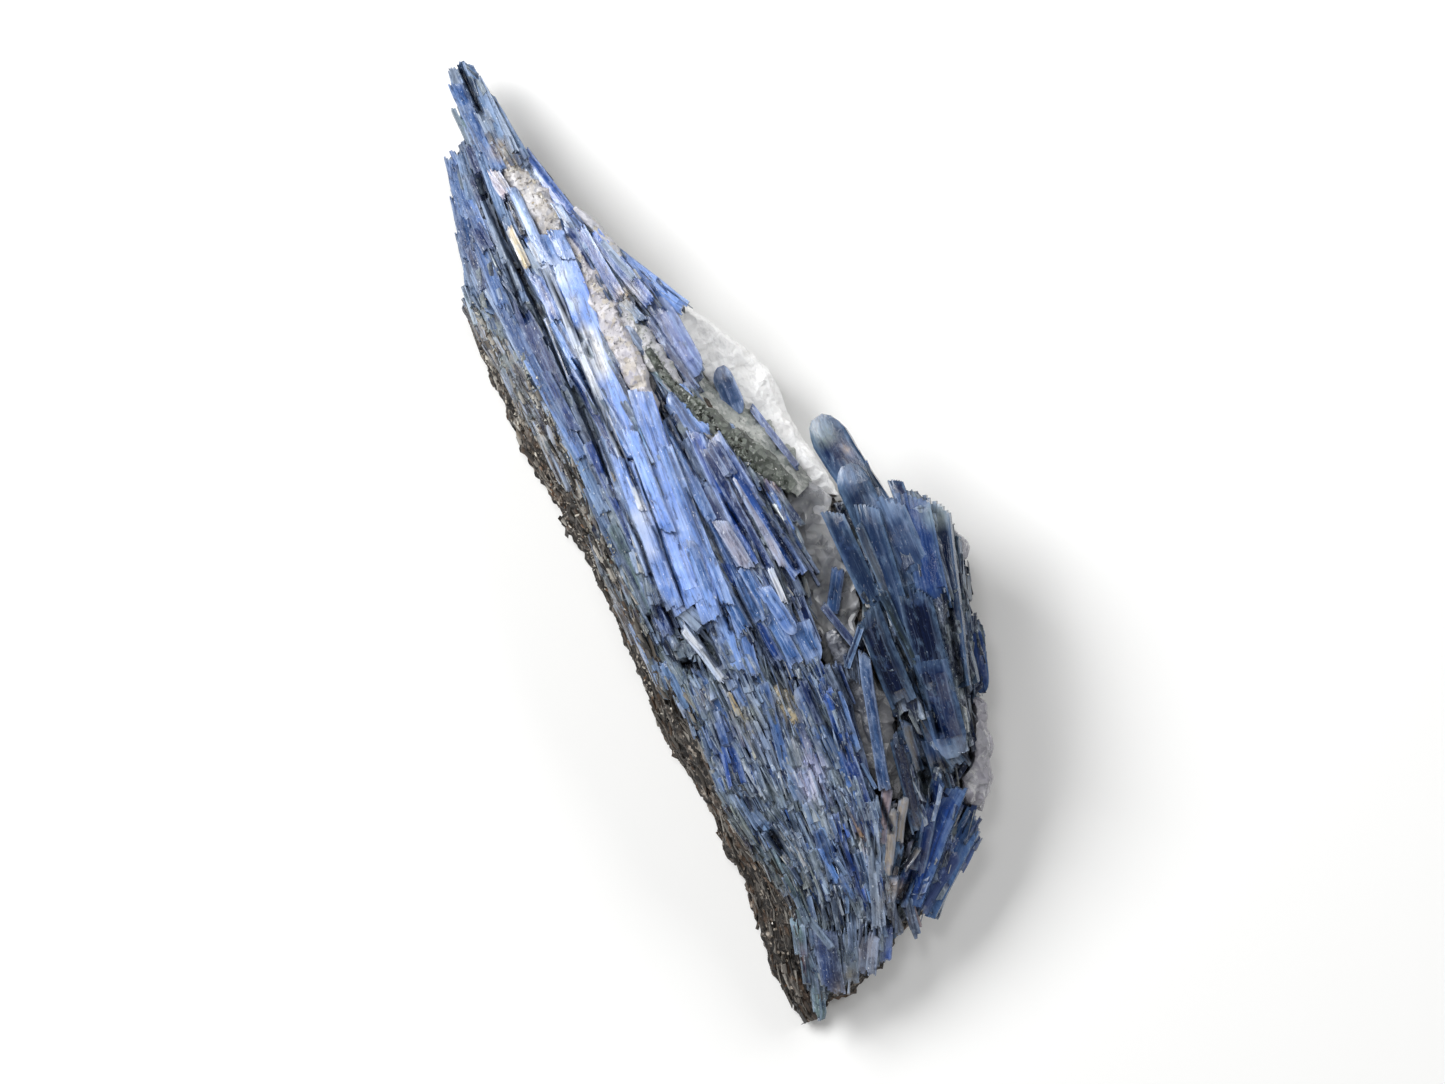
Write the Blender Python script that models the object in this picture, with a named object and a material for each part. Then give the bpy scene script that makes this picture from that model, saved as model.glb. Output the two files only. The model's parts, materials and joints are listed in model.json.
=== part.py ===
# Kyanite specimen: two sprays of blue kyanite blades on dark mica schist, with clear grey quartz.
# It lies on the flat cleavage face of the schist. +X runs along the blades to the upper tip, +Z is up.
# Lengths in this script are millimetres. place_in_metres turns each finished mesh to metres.

import math
import random

import bmesh
import bpy
from mathutils import Matrix, Vector, noise
from mathutils.geometry import delaunay_2d_cdt

# Overall length from the upper tip to the lower tip, and where those tips are in the picture's pixels
LENGTH = 180.0
TOP_TIP = Vector((457.0, 57.0))
BOTTOM_TIP = Vector((813.0, 1026.0))
# The middle of the overall box, from the lower tip along the length and across it
ORIGIN_ALONG = 90.0
ORIGIN_ACROSS = 20.3

# Relief of the crystal surface: a long low dome with its crest a little left of the middle
CREST_HEIGHT = 31.0
CREST_ALONG = 88.0
CREST_ACROSS = 5.0
END_FALL = 22.0
END_REACH = 90.0
LEFT_FALL = 0.020
RIGHT_FALL = 0.0035
# The right spray stands higher than the dome: its rise, its middle and its half widths
FAN_RISE = 4.0
FAN_ALONG = 52.0
FAN_ACROSS = 42.0
FAN_HALF_LENGTH = 35.0
FAN_HALF_WIDTH = 9.0

# How far the schist lies under the relief, and how far the crust between blades does
BED_DEPTH = 5.6
CRUST_DEPTH = 2.3
# Ridges along the grain on the crust
RIDGE_HEIGHT = 1.3
RIDGE_LENGTH = 16.0
RIDGE_WIDTH = 2.6
# The schist is hollowed under the quartz between the sprays
HOLLOW_DEPTH = 8.2
HOLLOW_ALONG = 78.0
HOLLOW_ACROSS = 28.0
HOLLOW_HALF_LENGTH = 20.0
HOLLOW_HALF_WIDTH = 7.5
# A streak of dark mica rises between the main spray and the quartz at its edge
STREAK_ENDS = ((696, 402), (778, 472))
STREAK_RISE = 2.6
STREAK_HALF_WIDTH = 2.6
# Clear gap between touching solids
GAP = 0.3
# A blade's root goes this far below the crust's top
ROOT = 1.6
# Blades wider than this have both edges chamfered, by these parts of their width
WIDE_BLADE = 2.4
LEFT_CHAMFER = (0.10, 0.24)
RIGHT_CHAMFER = (0.06, 0.18)
# Broken ends lean in plan by up to this slope, and are undercut by a slope in this range
END_SKEW = 0.45
END_UNDERCUT = (0.10, 0.35)
# A narrowed tip tapers over this many widths, and over no more than this part of the length
TAPER_WIDTHS = 0.8
TAPER_SHARE = 0.3
TIP_DROP = 0.12
# Splinters beside a blade: where they start, their length, distance, width and drop
SPLINTER_START = (0.0, 0.45)
SPLINTER_LENGTH = (0.4, 0.7)
SPLINTER_OFFSET = (0.55, 0.9)
SPLINTER_SPREAD = (0.7, 1.4)
SPLINTER_DROP = (0.3, 1.0)
SPLINTER_WIDTH = (0.3, 0.5)
# A lump's sides, in parts of its lean, edge drop and height: how much each point of a level varies
OUTLINE_WOBBLE = 0.12
CROWN_LEAN = (0.4, 1.6)
FOOT_LEAN = (0.8, 1.8)
RIM_DROP = (0.5, 1.5)
BELLY_HEIGHT = (0.45, 0.7)
LEAST_WALL = 1.0
# Inner points of a top vary by this part of a cell and stay this part of a cell inside the ring
CELL_JITTER = 0.3
RING_MARGIN = 0.45
# Bumps of each surface: their size and height, and a key that gives each surface its own
BED_BUMPS = (11.0, 0.8, 0.0)
CRUST_BUMPS = (5.0, 0.6, 7.0)
SHOULDER_BUMPS = (5.0, 1.6, 2.0)
SHOULDER_FOOT_BUMPS = (9.0, 1.5, 4.0)
HOLLOW_BUMPS = (4.0, 1.6, 5.0)
POCKET_BUMPS = (4.0, 1.4, 6.0)
RIM_BUMPS = (3.5, 2.0, 7.0)
RIM_FOOT_BUMPS = (6.0, 1.0, 7.5)
KNOB_BUMPS = (3.0, 1.5, 8.0)
SEAM_BUMPS = (3.5, 1.6, 9.0)
RIDGE_KEY = 3.0
# A sharp corner of a grown shape moves out by no more than this many gaps
CORNER_LIMIT = 2.5
# Points closer than this are one point
SAME_POINT = 0.004
# Faces that meet at less than this are one flat face
FLAT_ANGLE = math.radians(4.0)

MM_PER_PIXEL = LENGTH / (TOP_TIP - BOTTOM_TIP).length
ALONG = (TOP_TIP - BOTTOM_TIP).normalized()
ACROSS = Vector((-ALONG.y, ALONG.x))


def plan(pixel_x, pixel_y):
    """Place in plan, in millimetres, of a pixel of the picture."""
    step = (Vector((pixel_x, pixel_y)) - BOTTOM_TIP) * MM_PER_PIXEL
    return Vector((step.dot(ALONG) - ORIGIN_ALONG, ORIGIN_ACROSS - step.dot(ACROSS)))


def relief(x, y):
    """Mean height of the crystal surface."""
    along = x + ORIGIN_ALONG
    across = ORIGIN_ACROSS - y
    side = across - CREST_ACROSS
    fall = RIGHT_FALL if side > 0 else LEFT_FALL
    height = CREST_HEIGHT - END_FALL * ((along - CREST_ALONG) / END_REACH) ** 2 - fall * side ** 2
    fan_x = (along - FAN_ALONG) / FAN_HALF_LENGTH
    fan_y = (across - FAN_ACROSS) / FAN_HALF_WIDTH
    return height + FAN_RISE * math.exp(-fan_x ** 2 - fan_y ** 2)


def bumps(x, y, size, height, key):
    """Smooth uneven relief with bumps of about the given size."""
    return height * noise.noise(Vector((x / size, y / size, key)))


def streak_distance(x, y):
    """Distance in plan from the line of the dark mica streak."""
    start = plan(*STREAK_ENDS[0])
    run = plan(*STREAK_ENDS[1]) - start
    point = Vector((x, y)) - start
    part = max(0.0, min(1.0, point.dot(run) / run.length_squared))
    return (point - run * part).length


def bed(x, y):
    """Top of the schist under the crystals."""
    across = ORIGIN_ACROSS - y
    hollow_x = (x + ORIGIN_ALONG - HOLLOW_ALONG) / HOLLOW_HALF_LENGTH
    hollow_y = (across - HOLLOW_ACROSS) / HOLLOW_HALF_WIDTH
    hollow = HOLLOW_DEPTH * math.exp(-hollow_x ** 2 - hollow_y ** 2)
    streak = STREAK_RISE * math.exp(-(streak_distance(x, y) / STREAK_HALF_WIDTH) ** 2)
    return relief(x, y) - BED_DEPTH - hollow + streak + bumps(x, y, *BED_BUMPS)


def crust_top(x, y):
    """Top of the fine splintered kyanite between the blades: low ridges along the grain."""
    ridge = RIDGE_HEIGHT * noise.noise(Vector((x / RIDGE_LENGTH, y / RIDGE_WIDTH, RIDGE_KEY)))
    return relief(x, y) - CRUST_DEPTH + ridge + bumps(x, y, *CRUST_BUMPS)


# Solids from rings and laths

def signed_area(ring):
    return sum(a.x * b.y - b.x * a.y for a, b in zip(ring, ring[1:] + ring[:1])) / 2


def subdivided(corners, cell, wobble, rng):
    """The outline with points about a cell apart, each new one moved a little in or out."""
    ring = []
    for a, b in zip(corners, corners[1:] + corners[:1]):
        edge = b - a
        steps = max(1, round(edge.length / cell))
        side = Vector((edge.y, -edge.x)).normalized()
        for k in range(steps):
            shift = rng.uniform(-wobble, wobble) * cell if k else 0.0
            ring.append(a.lerp(b, k / steps) + side * shift)
    return ring


def outward(ring):
    """Outward direction at each point of a ring that runs anticlockwise."""
    result = []
    for k, point in enumerate(ring):
        edge = ring[(k + 1) % len(ring)] - ring[k - 1]
        result.append(Vector((edge.y, -edge.x)).normalized())
    return result


def is_inside(ring, x, y):
    inside = False
    for a, b in zip(ring, ring[1:] + ring[:1]):
        if (a.y > y) != (b.y > y) and x < (b.x - a.x) * (y - a.y) / (b.y - a.y) + a.x:
            inside = not inside
    return inside


def ring_distance(ring, point):
    nearest = math.inf
    for a, b in zip(ring, ring[1:] + ring[:1]):
        edge = b - a
        part = max(0.0, min(1.0, (point - a).dot(edge) / max(edge.length_squared, 1e-9)))
        nearest = min(nearest, (point - a - edge * part).length)
    return nearest


def inner_points(ring, cell, stretch, rng):
    """Uneven grid of points inside a ring. stretch makes its cells longer along X."""
    low_x = min(p.x for p in ring)
    high_x = max(p.x for p in ring)
    low_y = min(p.y for p in ring)
    high_y = max(p.y for p in ring)
    step_x = cell * stretch
    points = []
    for i in range(int((high_x - low_x) / step_x) + 1):
        for j in range(int((high_y - low_y) / cell) + 1):
            x = low_x + (i + 0.5 + 0.5 * (j % 2) + rng.uniform(-CELL_JITTER, CELL_JITTER)) * step_x
            y = low_y + (j + 0.5 + rng.uniform(-CELL_JITTER, CELL_JITTER)) * cell
            if is_inside(ring, x, y) and ring_distance(ring, Vector((x, y))) > RING_MARGIN * cell:
                points.append(Vector((x, y)))
    return points


def ringed_solid(rings, inner, top):
    """Closed solid from rings of equal count, lowest first. The last ring and inner carry its top."""
    count = len(rings[0])
    flat = [Vector((p.x, p.y)) for p in rings[-1]] + inner
    loop = list(range(count))
    _, _, top_faces, top_from, _, _ = delaunay_2d_cdt(flat, [], [loop], 1, 1e-5)
    base = [Vector((p.x, p.y)) for p in rings[0]]
    _, _, base_faces, base_from, _, _ = delaunay_2d_cdt(base, [], [loop], 1, 1e-5)
    bm = bmesh.new()
    rows = [[bm.verts.new(p) for p in ring] for ring in rings]
    crown = rows[-1] + [bm.verts.new((p.x, p.y, top(p.x, p.y))) for p in inner]
    for face in top_faces:
        bm.faces.new([crown[top_from[v][0]] for v in face])
    for face in base_faces:
        bm.faces.new([rows[0][base_from[v][0]] for v in reversed(face)])
    for lower, upper in zip(rows, rows[1:]):
        for k in range(count):
            n = (k + 1) % count
            bm.faces.new((lower[k], lower[n], upper[n]))
            bm.faces.new((lower[k], upper[n], upper[k]))
    bmesh.ops.recalc_face_normals(bm, faces=bm.faces)
    return bm


def outline_ring(pixels, cell, wobble, rng):
    """The outline drawn in pixels, as a ring in plan that runs anticlockwise."""
    corners = [plan(*pixel) for pixel in pixels]
    if signed_area(corners) < 0:
        corners.reverse()
    return subdivided(corners, cell, wobble, rng)


def lump(pixels, top, bottom, cell, edge_drop, lean, seed, stretch=1.0):
    """Rough solid over an outline: its sides lean in by lean at the top and its edge is dropped."""
    rng = random.Random(seed)
    ring = outline_ring(pixels, cell, OUTLINE_WOBBLE, rng)
    away = outward(ring)
    low = []
    middle = []
    high = []
    for p, n in zip(ring, away):
        crown = p - n * lean * rng.uniform(*CROWN_LEAN)
        floor = bottom(p.x, p.y)
        rim = max(floor + LEAST_WALL, top(crown.x, crown.y) - edge_drop * rng.uniform(*RIM_DROP))
        foot = p - n * lean * rng.uniform(*FOOT_LEAN)
        low.append(Vector((foot.x, foot.y, floor)))
        middle.append(Vector((p.x, p.y, floor + (rim - floor) * rng.uniform(*BELLY_HEIGHT))))
        high.append(Vector((crown.x, crown.y, rim)))
    flat = [Vector((p.x, p.y)) for p in high]
    return ringed_solid([low, middle, high], inner_points(flat, cell, stretch, rng), top)


def lath(start, end, width, depth, rng, roll=0.0, tips=(1.0, 1.0)):
    """A flat kyanite blade whose top runs from start to end: chamfered edges and oblique broken ends.
    A tip under 1 narrows that end to this share of the width. An end that isn't narrowed has no tip ring."""
    axis = (end - start).normalized()
    side = axis.cross(Vector((0.0, 0.0, 1.0))).normalized()
    turn = Matrix.Rotation(math.radians(roll), 3, axis)
    side = turn @ side
    up = side.cross(axis)
    half = width / 2
    left_cut = width * rng.uniform(*LEFT_CHAMFER)
    right_cut = width * rng.uniform(*RIGHT_CHAMFER)
    if width > WIDE_BLADE:
        section = [(-half, -depth), (half, -depth), (half, -right_cut), (half - 0.9 * right_cut, 0.0),
                   (left_cut - half, 0.0), (-half, -left_cut)]
    else:
        section = [(-half, -depth), (half, -depth), (half, -right_cut), (-half, 0.0)]
    length = (end - start).length
    stations = []
    for at, share, sign in ((0.0, tips[0], -1.0), (length, tips[1], 1.0)):
        skew = rng.uniform(-END_SKEW, END_SKEW)
        undercut = rng.uniform(*END_UNDERCUT)
        body = []
        tip = []
        taper = min(TAPER_WIDTHS * width, TAPER_SHARE * length)
        for u, w in section:
            shift = sign * undercut * w + skew * u
            if share < 1.0:
                body.append((u, w, at - sign * taper + 0.3 * shift))
                tip.append((u * share, w * (1 + share) / 2 - TIP_DROP * width, at + 0.3 * shift))
            else:
                body.append((u, w, at + shift))
        stations += [tip, body] if sign < 0 else [body, tip]
    bm = bmesh.new()
    rings = [[bm.verts.new(start + side * u + up * w + axis * t) for u, w, t in station]
             for station in stations if station]
    for near, far in zip(rings, rings[1:]):
        for k in range(len(section)):
            n = (k + 1) % len(section)
            bm.faces.new((near[k], near[n], far[n], far[k]))
    bm.faces.new(reversed(rings[0]))
    bm.faces.new(rings[-1])
    bmesh.ops.recalc_face_normals(bm, faces=bm.faces)
    return bm


def blade(row, rng, surface=relief):
    """A lath from a row of the blade lists: pixel ends, pixel width, heights over the surface."""
    x0, y0, x1, y1, width, lift0, lift1 = row[:7]
    options = row[7] if len(row) > 7 else {}
    a = plan(x0, y0)
    b = plan(x1, y1)
    start = Vector((a.x, a.y, surface(a.x, a.y) + lift0))
    end = Vector((b.x, b.y, surface(b.x, b.y) + lift1))
    depth = options.get("depth", max(lift0, lift1) + CRUST_DEPTH + ROOT)
    return lath(start, end, width * MM_PER_PIXEL, depth, rng, options.get("roll", 0.0),
                options.get("tips", (1.0, 1.0)))


def splinter(row, rng):
    """A narrow lath that grew beside a blade, a little lower and not quite parallel."""
    x0, y0, x1, y1, width, lift0, lift1 = row[:7]
    run = Vector((x1 - x0, y1 - y0))
    side = Vector((-run.y, run.x)).normalized() * rng.choice((-1, 1)) * width * rng.uniform(*SPLINTER_OFFSET)
    first = rng.uniform(*SPLINTER_START)
    last = min(1.0, first + rng.uniform(*SPLINTER_LENGTH))
    a = Vector((x0, y0)) + run * first + side
    b = Vector((x0, y0)) + run * last + side * rng.uniform(*SPLINTER_SPREAD)
    drop = rng.uniform(*SPLINTER_DROP)
    narrow = width * rng.uniform(*SPLINTER_WIDTH)
    return blade((a.x, a.y, b.x, b.y, narrow, lift0 - drop, lift1 - drop), rng)


# Solid modelling helpers

def as_object(bm, name):
    mesh = bpy.data.meshes.new(name)
    bm.to_mesh(mesh)
    bm.free()
    made = bpy.data.objects.new(name, mesh)
    bpy.context.scene.collection.objects.link(made)
    return made


def grown(bm):
    """The same shape with every face moved out by the gap."""
    bm.normal_update()
    moves = [v.normal * GAP * min(v.calc_shell_factor(), CORNER_LIMIT) for v in bm.verts]
    for vert, move in zip(bm.verts, moves):
        vert.co += move
    return bm


def combined(target, operands, operation):
    """Union or difference of an object with a list of meshes."""
    tools = bpy.data.collections.new("tools")
    for k, bm in enumerate(operands):
        tool = as_object(bm, f"tool_{k}")
        bpy.context.scene.collection.objects.unlink(tool)
        tools.objects.link(tool)
    cut = target.modifiers.new("combine", "BOOLEAN")
    cut.operation = operation
    cut.solver = "EXACT"
    cut.operand_type = "COLLECTION"
    cut.collection = tools
    view = bpy.context.evaluated_depsgraph_get()
    result = bpy.data.meshes.new_from_object(target.evaluated_get(view))
    target.modifiers.remove(cut)
    old = target.data
    target.data = result
    bpy.data.meshes.remove(old)
    for tool in list(tools.objects):
        bpy.data.objects.remove(tool)
    bpy.data.collections.remove(tools)
    return target


def remove_fins(bm):
    """Remove pairs of triangles that lie back to back with nothing between them."""
    seen = {}
    fins = []
    for face in bm.faces:
        corners = frozenset(v.index for v in face.verts)
        if corners in seen:
            fins += [face, seen.pop(corners)]
        else:
            seen[corners] = face
    bmesh.ops.delete(bm, geom=fins, context="FACES")


def largest_body(bm):
    """Remove all but the largest connected body."""
    bodies = []
    left = set(bm.faces)
    while left:
        todo = [left.pop()]
        body = set(todo)
        while todo:
            face = todo.pop()
            for edge in face.edges:
                for other in edge.link_faces:
                    if other in left:
                        left.discard(other)
                        body.add(other)
                        todo.append(other)
        bodies.append(body)
    bodies.sort(key=lambda body: sum(face.calc_area() for face in body))
    loose = [face for body in bodies[:-1] for face in body]
    bmesh.ops.delete(bm, geom=loose, context="FACES")


def tidied(target):
    """Keep the largest body, join points that fall together and flatten needless edges."""
    bm = bmesh.new()
    bm.from_mesh(target.data)
    bmesh.ops.remove_doubles(bm, verts=bm.verts, dist=SAME_POINT)
    bmesh.ops.dissolve_degenerate(bm, dist=SAME_POINT, edges=bm.edges)
    largest_body(bm)
    bmesh.ops.dissolve_limit(bm, angle_limit=FLAT_ANGLE, verts=bm.verts, edges=bm.edges)
    bmesh.ops.triangulate(bm, faces=bm.faces)
    bm.verts.index_update()
    remove_fins(bm)
    bm.to_mesh(target.data)
    bm.free()
    return target


def place_in_metres(target, material):
    target.data.transform(Matrix.Scale(0.001, 4))
    target.data.materials.clear()
    target.data.materials.append(material)
    return target


def finish_of(name, colour, roughness, ior=1.5, transmission=0.0):
    """Principled material."""
    material = bpy.data.materials.new(name)
    material.use_nodes = True
    shader = material.node_tree.nodes["Principled BSDF"]
    shader.inputs["Base Color"].default_value = (*colour, 1.0)
    shader.inputs["Roughness"].default_value = roughness
    shader.inputs["Metallic"].default_value = 0.0
    shader.inputs["Transmission Weight"].default_value = transmission
    shader.inputs["IOR"].default_value = ior
    material.diffuse_color = (*colour, 1.0)
    return material


# Schist

SCHIST_OUTLINE = (
    (470, 165), (466, 215), (466, 265), (463, 318), (479, 355), (499, 395), (519, 440), (543, 487), (561, 508),
    (563, 527), (583, 553), (600, 584), (620, 625), (635, 660), (648, 695), (655, 718), (668, 744), (688, 776),
    (713, 820), (725, 850), (742, 880), (758, 922), (764, 950), (784, 998), (803, 1020), (813, 1027),
    (826, 1015), (834, 1005), (850, 999), (866, 984), (884, 967), (897, 943),
    (913, 930), (936, 902), (956, 868), (972, 835), (976, 795), (976, 745), (972, 700), (966, 650), (958, 600),
    (944, 555), (905, 530), (868, 510), (835, 500), (800, 478), (765, 450), (735, 425), (708, 392), (690, 355),
    (668, 322), (648, 290), (620, 262), (592, 235), (568, 215), (548, 192), (530, 170), (512, 150), (490, 140),
)
# Wall levels from the foot to the rim: height in parts of the rim's height, and the share of the lean
SCHIST_LEVELS = ((0.0, 0.06), (0.16, 0.0), (0.38, 0.16), (0.46, 0.42), (0.74, 0.55), (0.84, 0.86), (1.0, 1.0))
SCHIST_LEFT_LEAN = 5.4
SCHIST_RIGHT_LEAN = 1.6
# The lean fades out over this length at the two ends
SCHIST_END_FADE = 26.0
SCHIST_LEDGE_ROUGHNESS = 0.55
SCHIST_END_LEAN = 0.25
SCHIST_LEVEL_JITTER = 0.5
SCHIST_RIM_DROP = 0.6
SCHIST_WALL_CELL = 6.0
SCHIST_WOBBLE = 0.10
SCHIST_TOP_CELL = 8.0
SCHIST_TOP_STRETCH = 1.4


def schist_body():
    """Foliated slab with a flat foot and broken ledges up its walls."""
    rng = random.Random(11)
    ring = outline_ring(SCHIST_OUTLINE, SCHIST_WALL_CELL, SCHIST_WOBBLE, rng)
    away = outward(ring)
    low_x = min(p.x for p in ring)
    high_x = max(p.x for p in ring)
    rings = []
    for share, lean_share in SCHIST_LEVELS:
        level = []
        for k, (p, n) in enumerate(zip(ring, away)):
            left = max(0.0, n.y)
            end = min(p.x - low_x, high_x - p.x) / SCHIST_END_FADE
            fade = min(1.0, SCHIST_END_LEAN + max(0.0, end))
            lean = (SCHIST_RIGHT_LEAN + (SCHIST_LEFT_LEAN - SCHIST_RIGHT_LEAN) * left) * fade
            rough = SCHIST_LEDGE_ROUGHNESS * rng.uniform(-1.0, 1.0) * (0.0 < share < 1.0) * fade
            spot = p - n * (lean * lean_share + rough)
            rim = bed(p.x - n.x * lean, p.y - n.y * lean) - SCHIST_RIM_DROP
            jitter = SCHIST_LEVEL_JITTER * (share < 1.0)
            rise = 0.0 if share == 0.0 else rng.uniform(-jitter, jitter)
            level.append(Vector((spot.x, spot.y, rim * share + rise)))
        rings.append(level)
    flat = [Vector((p.x, p.y)) for p in rings[-1]]
    return ringed_solid(rings, inner_points(flat, SCHIST_TOP_CELL, SCHIST_TOP_STRETCH, rng), bed)


# Quartz

QUARTZ_HOLLOW = (
    (770, 484), (782, 466), (800, 472), (832, 496), (832, 514), (845, 560), (862, 600), (860, 648), (843, 676),
    (826, 668), (810, 640), (800, 600), (792, 560), (780, 520),
)
QUARTZ_POCKET = (
    (844, 686), (858, 678), (870, 664), (892, 700), (896, 760), (905, 775), (905, 800), (885, 805), (878, 790),
    (866, 770), (855, 735), (848, 710),
)
QUARTZ_RIM = (
    (970, 695), (988, 700), (990, 728), (996, 745), (992, 762), (996, 782), (989, 800), (984, 815), (963, 806),
    (960, 780), (970, 760), (970, 730),
)
QUARTZ_KNOB = ((952, 528), (964, 533), (973, 545), (969, 560), (956, 562))
QUARTZ_SHOULDER = (
    (656, 304), (668, 296), (684, 301), (700, 312), (713, 319), (724, 330), (742, 343), (761, 357), (772, 371),
    (780, 385), (786, 402), (794, 420), (804, 436), (816, 453), (828, 472), (842, 496), (826, 500), (800, 484),
    (780, 466), (756, 444), (733, 420), (706, 390), (688, 355), (670, 324),
)
QUARTZ_SEAM_UPPER = (
    (497, 142), (510, 150), (530, 172), (548, 205), (570, 228), (555, 232), (542, 236), (522, 198), (510, 190),
    (490, 175), (486, 163),
)
QUARTZ_SEAM_LOWER = (
    (575, 262), (590, 270), (606, 305), (625, 318), (650, 350), (664, 378), (655, 400), (662, 440), (645, 430),
    (625, 385), (605, 330), (590, 300),
)
SHOULDER_HEIGHT = 20.0
SHOULDER_SLOPE = 0.50
SHOULDER_FROM = 20.0
SHOULDER_SLOPE_EASE = 0.34
SHOULDER_EASE_FROM = 105.0
SHOULDER_EASE_LENGTH = 12.0
SHOULDER_FOOT = 3.0
HOLLOW_TOP_HEIGHT = 21.5
HOLLOW_TOP_FALL = 0.16
HOLLOW_TOP_FROM = -12.0
# Depths under the relief, and how far crystals and quartz reach down into the schist
POCKET_DEPTH = 1.8
RIM_DEPTH = 1.0
RIM_FOOT = 7.5
KNOB_DEPTH = 3.0
KNOB_FOOT_DEPTH = 11.0
SEAM_DEPTH = 1.5
ROOT_IN_BED = 2.5


def shoulder_top(x, y):
    across = ORIGIN_ACROSS - y
    along = x + ORIGIN_ALONG
    easing = max(0.0, min(1.0, (SHOULDER_EASE_FROM - along) / SHOULDER_EASE_LENGTH))
    slope = SHOULDER_SLOPE - SHOULDER_SLOPE_EASE * easing
    return SHOULDER_HEIGHT - slope * (across - SHOULDER_FROM) + bumps(x, y, *SHOULDER_BUMPS)


def shoulder_foot(x, y):
    return SHOULDER_FOOT + bumps(x, y, *SHOULDER_FOOT_BUMPS)


def hollow_top(x, y):
    fall = HOLLOW_TOP_FALL * max(0.0, x - HOLLOW_TOP_FROM)
    return HOLLOW_TOP_HEIGHT - fall + bumps(x, y, *HOLLOW_BUMPS)


def pocket_top(x, y):
    return relief(x, y) - POCKET_DEPTH + bumps(x, y, *POCKET_BUMPS)


def rim_top(x, y):
    return relief(x, y) - RIM_DEPTH + bumps(x, y, *RIM_BUMPS)


def rim_foot(x, y):
    return RIM_FOOT + bumps(x, y, *RIM_FOOT_BUMPS)


def knob_top(x, y):
    return relief(x, y) - KNOB_DEPTH + bumps(x, y, *KNOB_BUMPS)


def knob_foot(x, y):
    return relief(x, y) - KNOB_FOOT_DEPTH


def seam_top(x, y):
    return relief(x, y) - SEAM_DEPTH + bumps(x, y, *SEAM_BUMPS)


def below_bed(x, y):
    return bed(x, y) - ROOT_IN_BED


# Rows are lumps: outline, top and foot, then cell, edge drop and lean in mm, and a seed
QUARTZ_LUMPS = (
    ("quartz_shoulder", QUARTZ_SHOULDER, shoulder_top, shoulder_foot, 5.0, 1.5, 1.0, 21),
    ("quartz_hollow", QUARTZ_HOLLOW, hollow_top, below_bed, 3.6, 0.8, 0.2, 22),
    ("quartz_pocket", QUARTZ_POCKET, pocket_top, below_bed, 3.6, 0.8, 0.2, 23),
    ("quartz_rim", QUARTZ_RIM, rim_top, rim_foot, 3.2, 1.4, 0.7, 24),
    ("quartz_knob", QUARTZ_KNOB, knob_top, knob_foot, 2.2, 1.0, 0.4, 25),
    ("quartz_seam_upper", QUARTZ_SEAM_UPPER, seam_top, below_bed, 3.6, 0.7, 0.2, 26),
    ("quartz_seam_lower", QUARTZ_SEAM_LOWER, seam_top, below_bed, 3.6, 0.7, 0.2, 27),
)


def quartz_bodies():
    """Each quartz lump as a fresh mesh, by name."""
    return {
        name: lump(outline, top, foot, cell, edge_drop, lean, seed)
        for name, outline, top, foot, cell, edge_drop, lean, seed in QUARTZ_LUMPS
    }


# Kyanite

MAIN_OUTLINE = (
    (470, 130), (505, 130), (535, 165), (570, 208), (610, 240), (650, 275), (682, 303), (672, 314), (690, 350),
    (700, 388), (712, 418), (730, 446), (752, 474), (768, 492), (790, 560), (800, 610), (820, 665), (845, 690),
    (850, 740), (870, 800), (878, 860), (884, 925), (880, 960), (850, 988), (828, 1005), (812, 1000), (798, 945),
    (788, 905), (765, 870), (740, 835), (722, 800), (705, 765), (690, 715), (665, 685), (646, 655), (633, 615),
    (613, 575), (598, 535), (573, 490), (552, 450), (536, 410), (516, 385), (500, 355), (476, 330),
    (466, 300), (460, 240), (459, 200), (452, 165), (457, 152),
)
FAN_OUTLINE = (
    (828, 500), (870, 493), (905, 512), (942, 519), (958, 548), (961, 612), (976, 628), (982, 690), (970, 700),
    (972, 760), (960, 800), (975, 835), (960, 865), (938, 900), (915, 922), (893, 933), (888, 925), (882, 860),
    (885, 810), (905, 800), (898, 780), (893, 700), (872, 660), (862, 640), (862, 600), (850, 560), (835, 520),
)
BLUNT = (0.6, 0.6)
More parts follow.
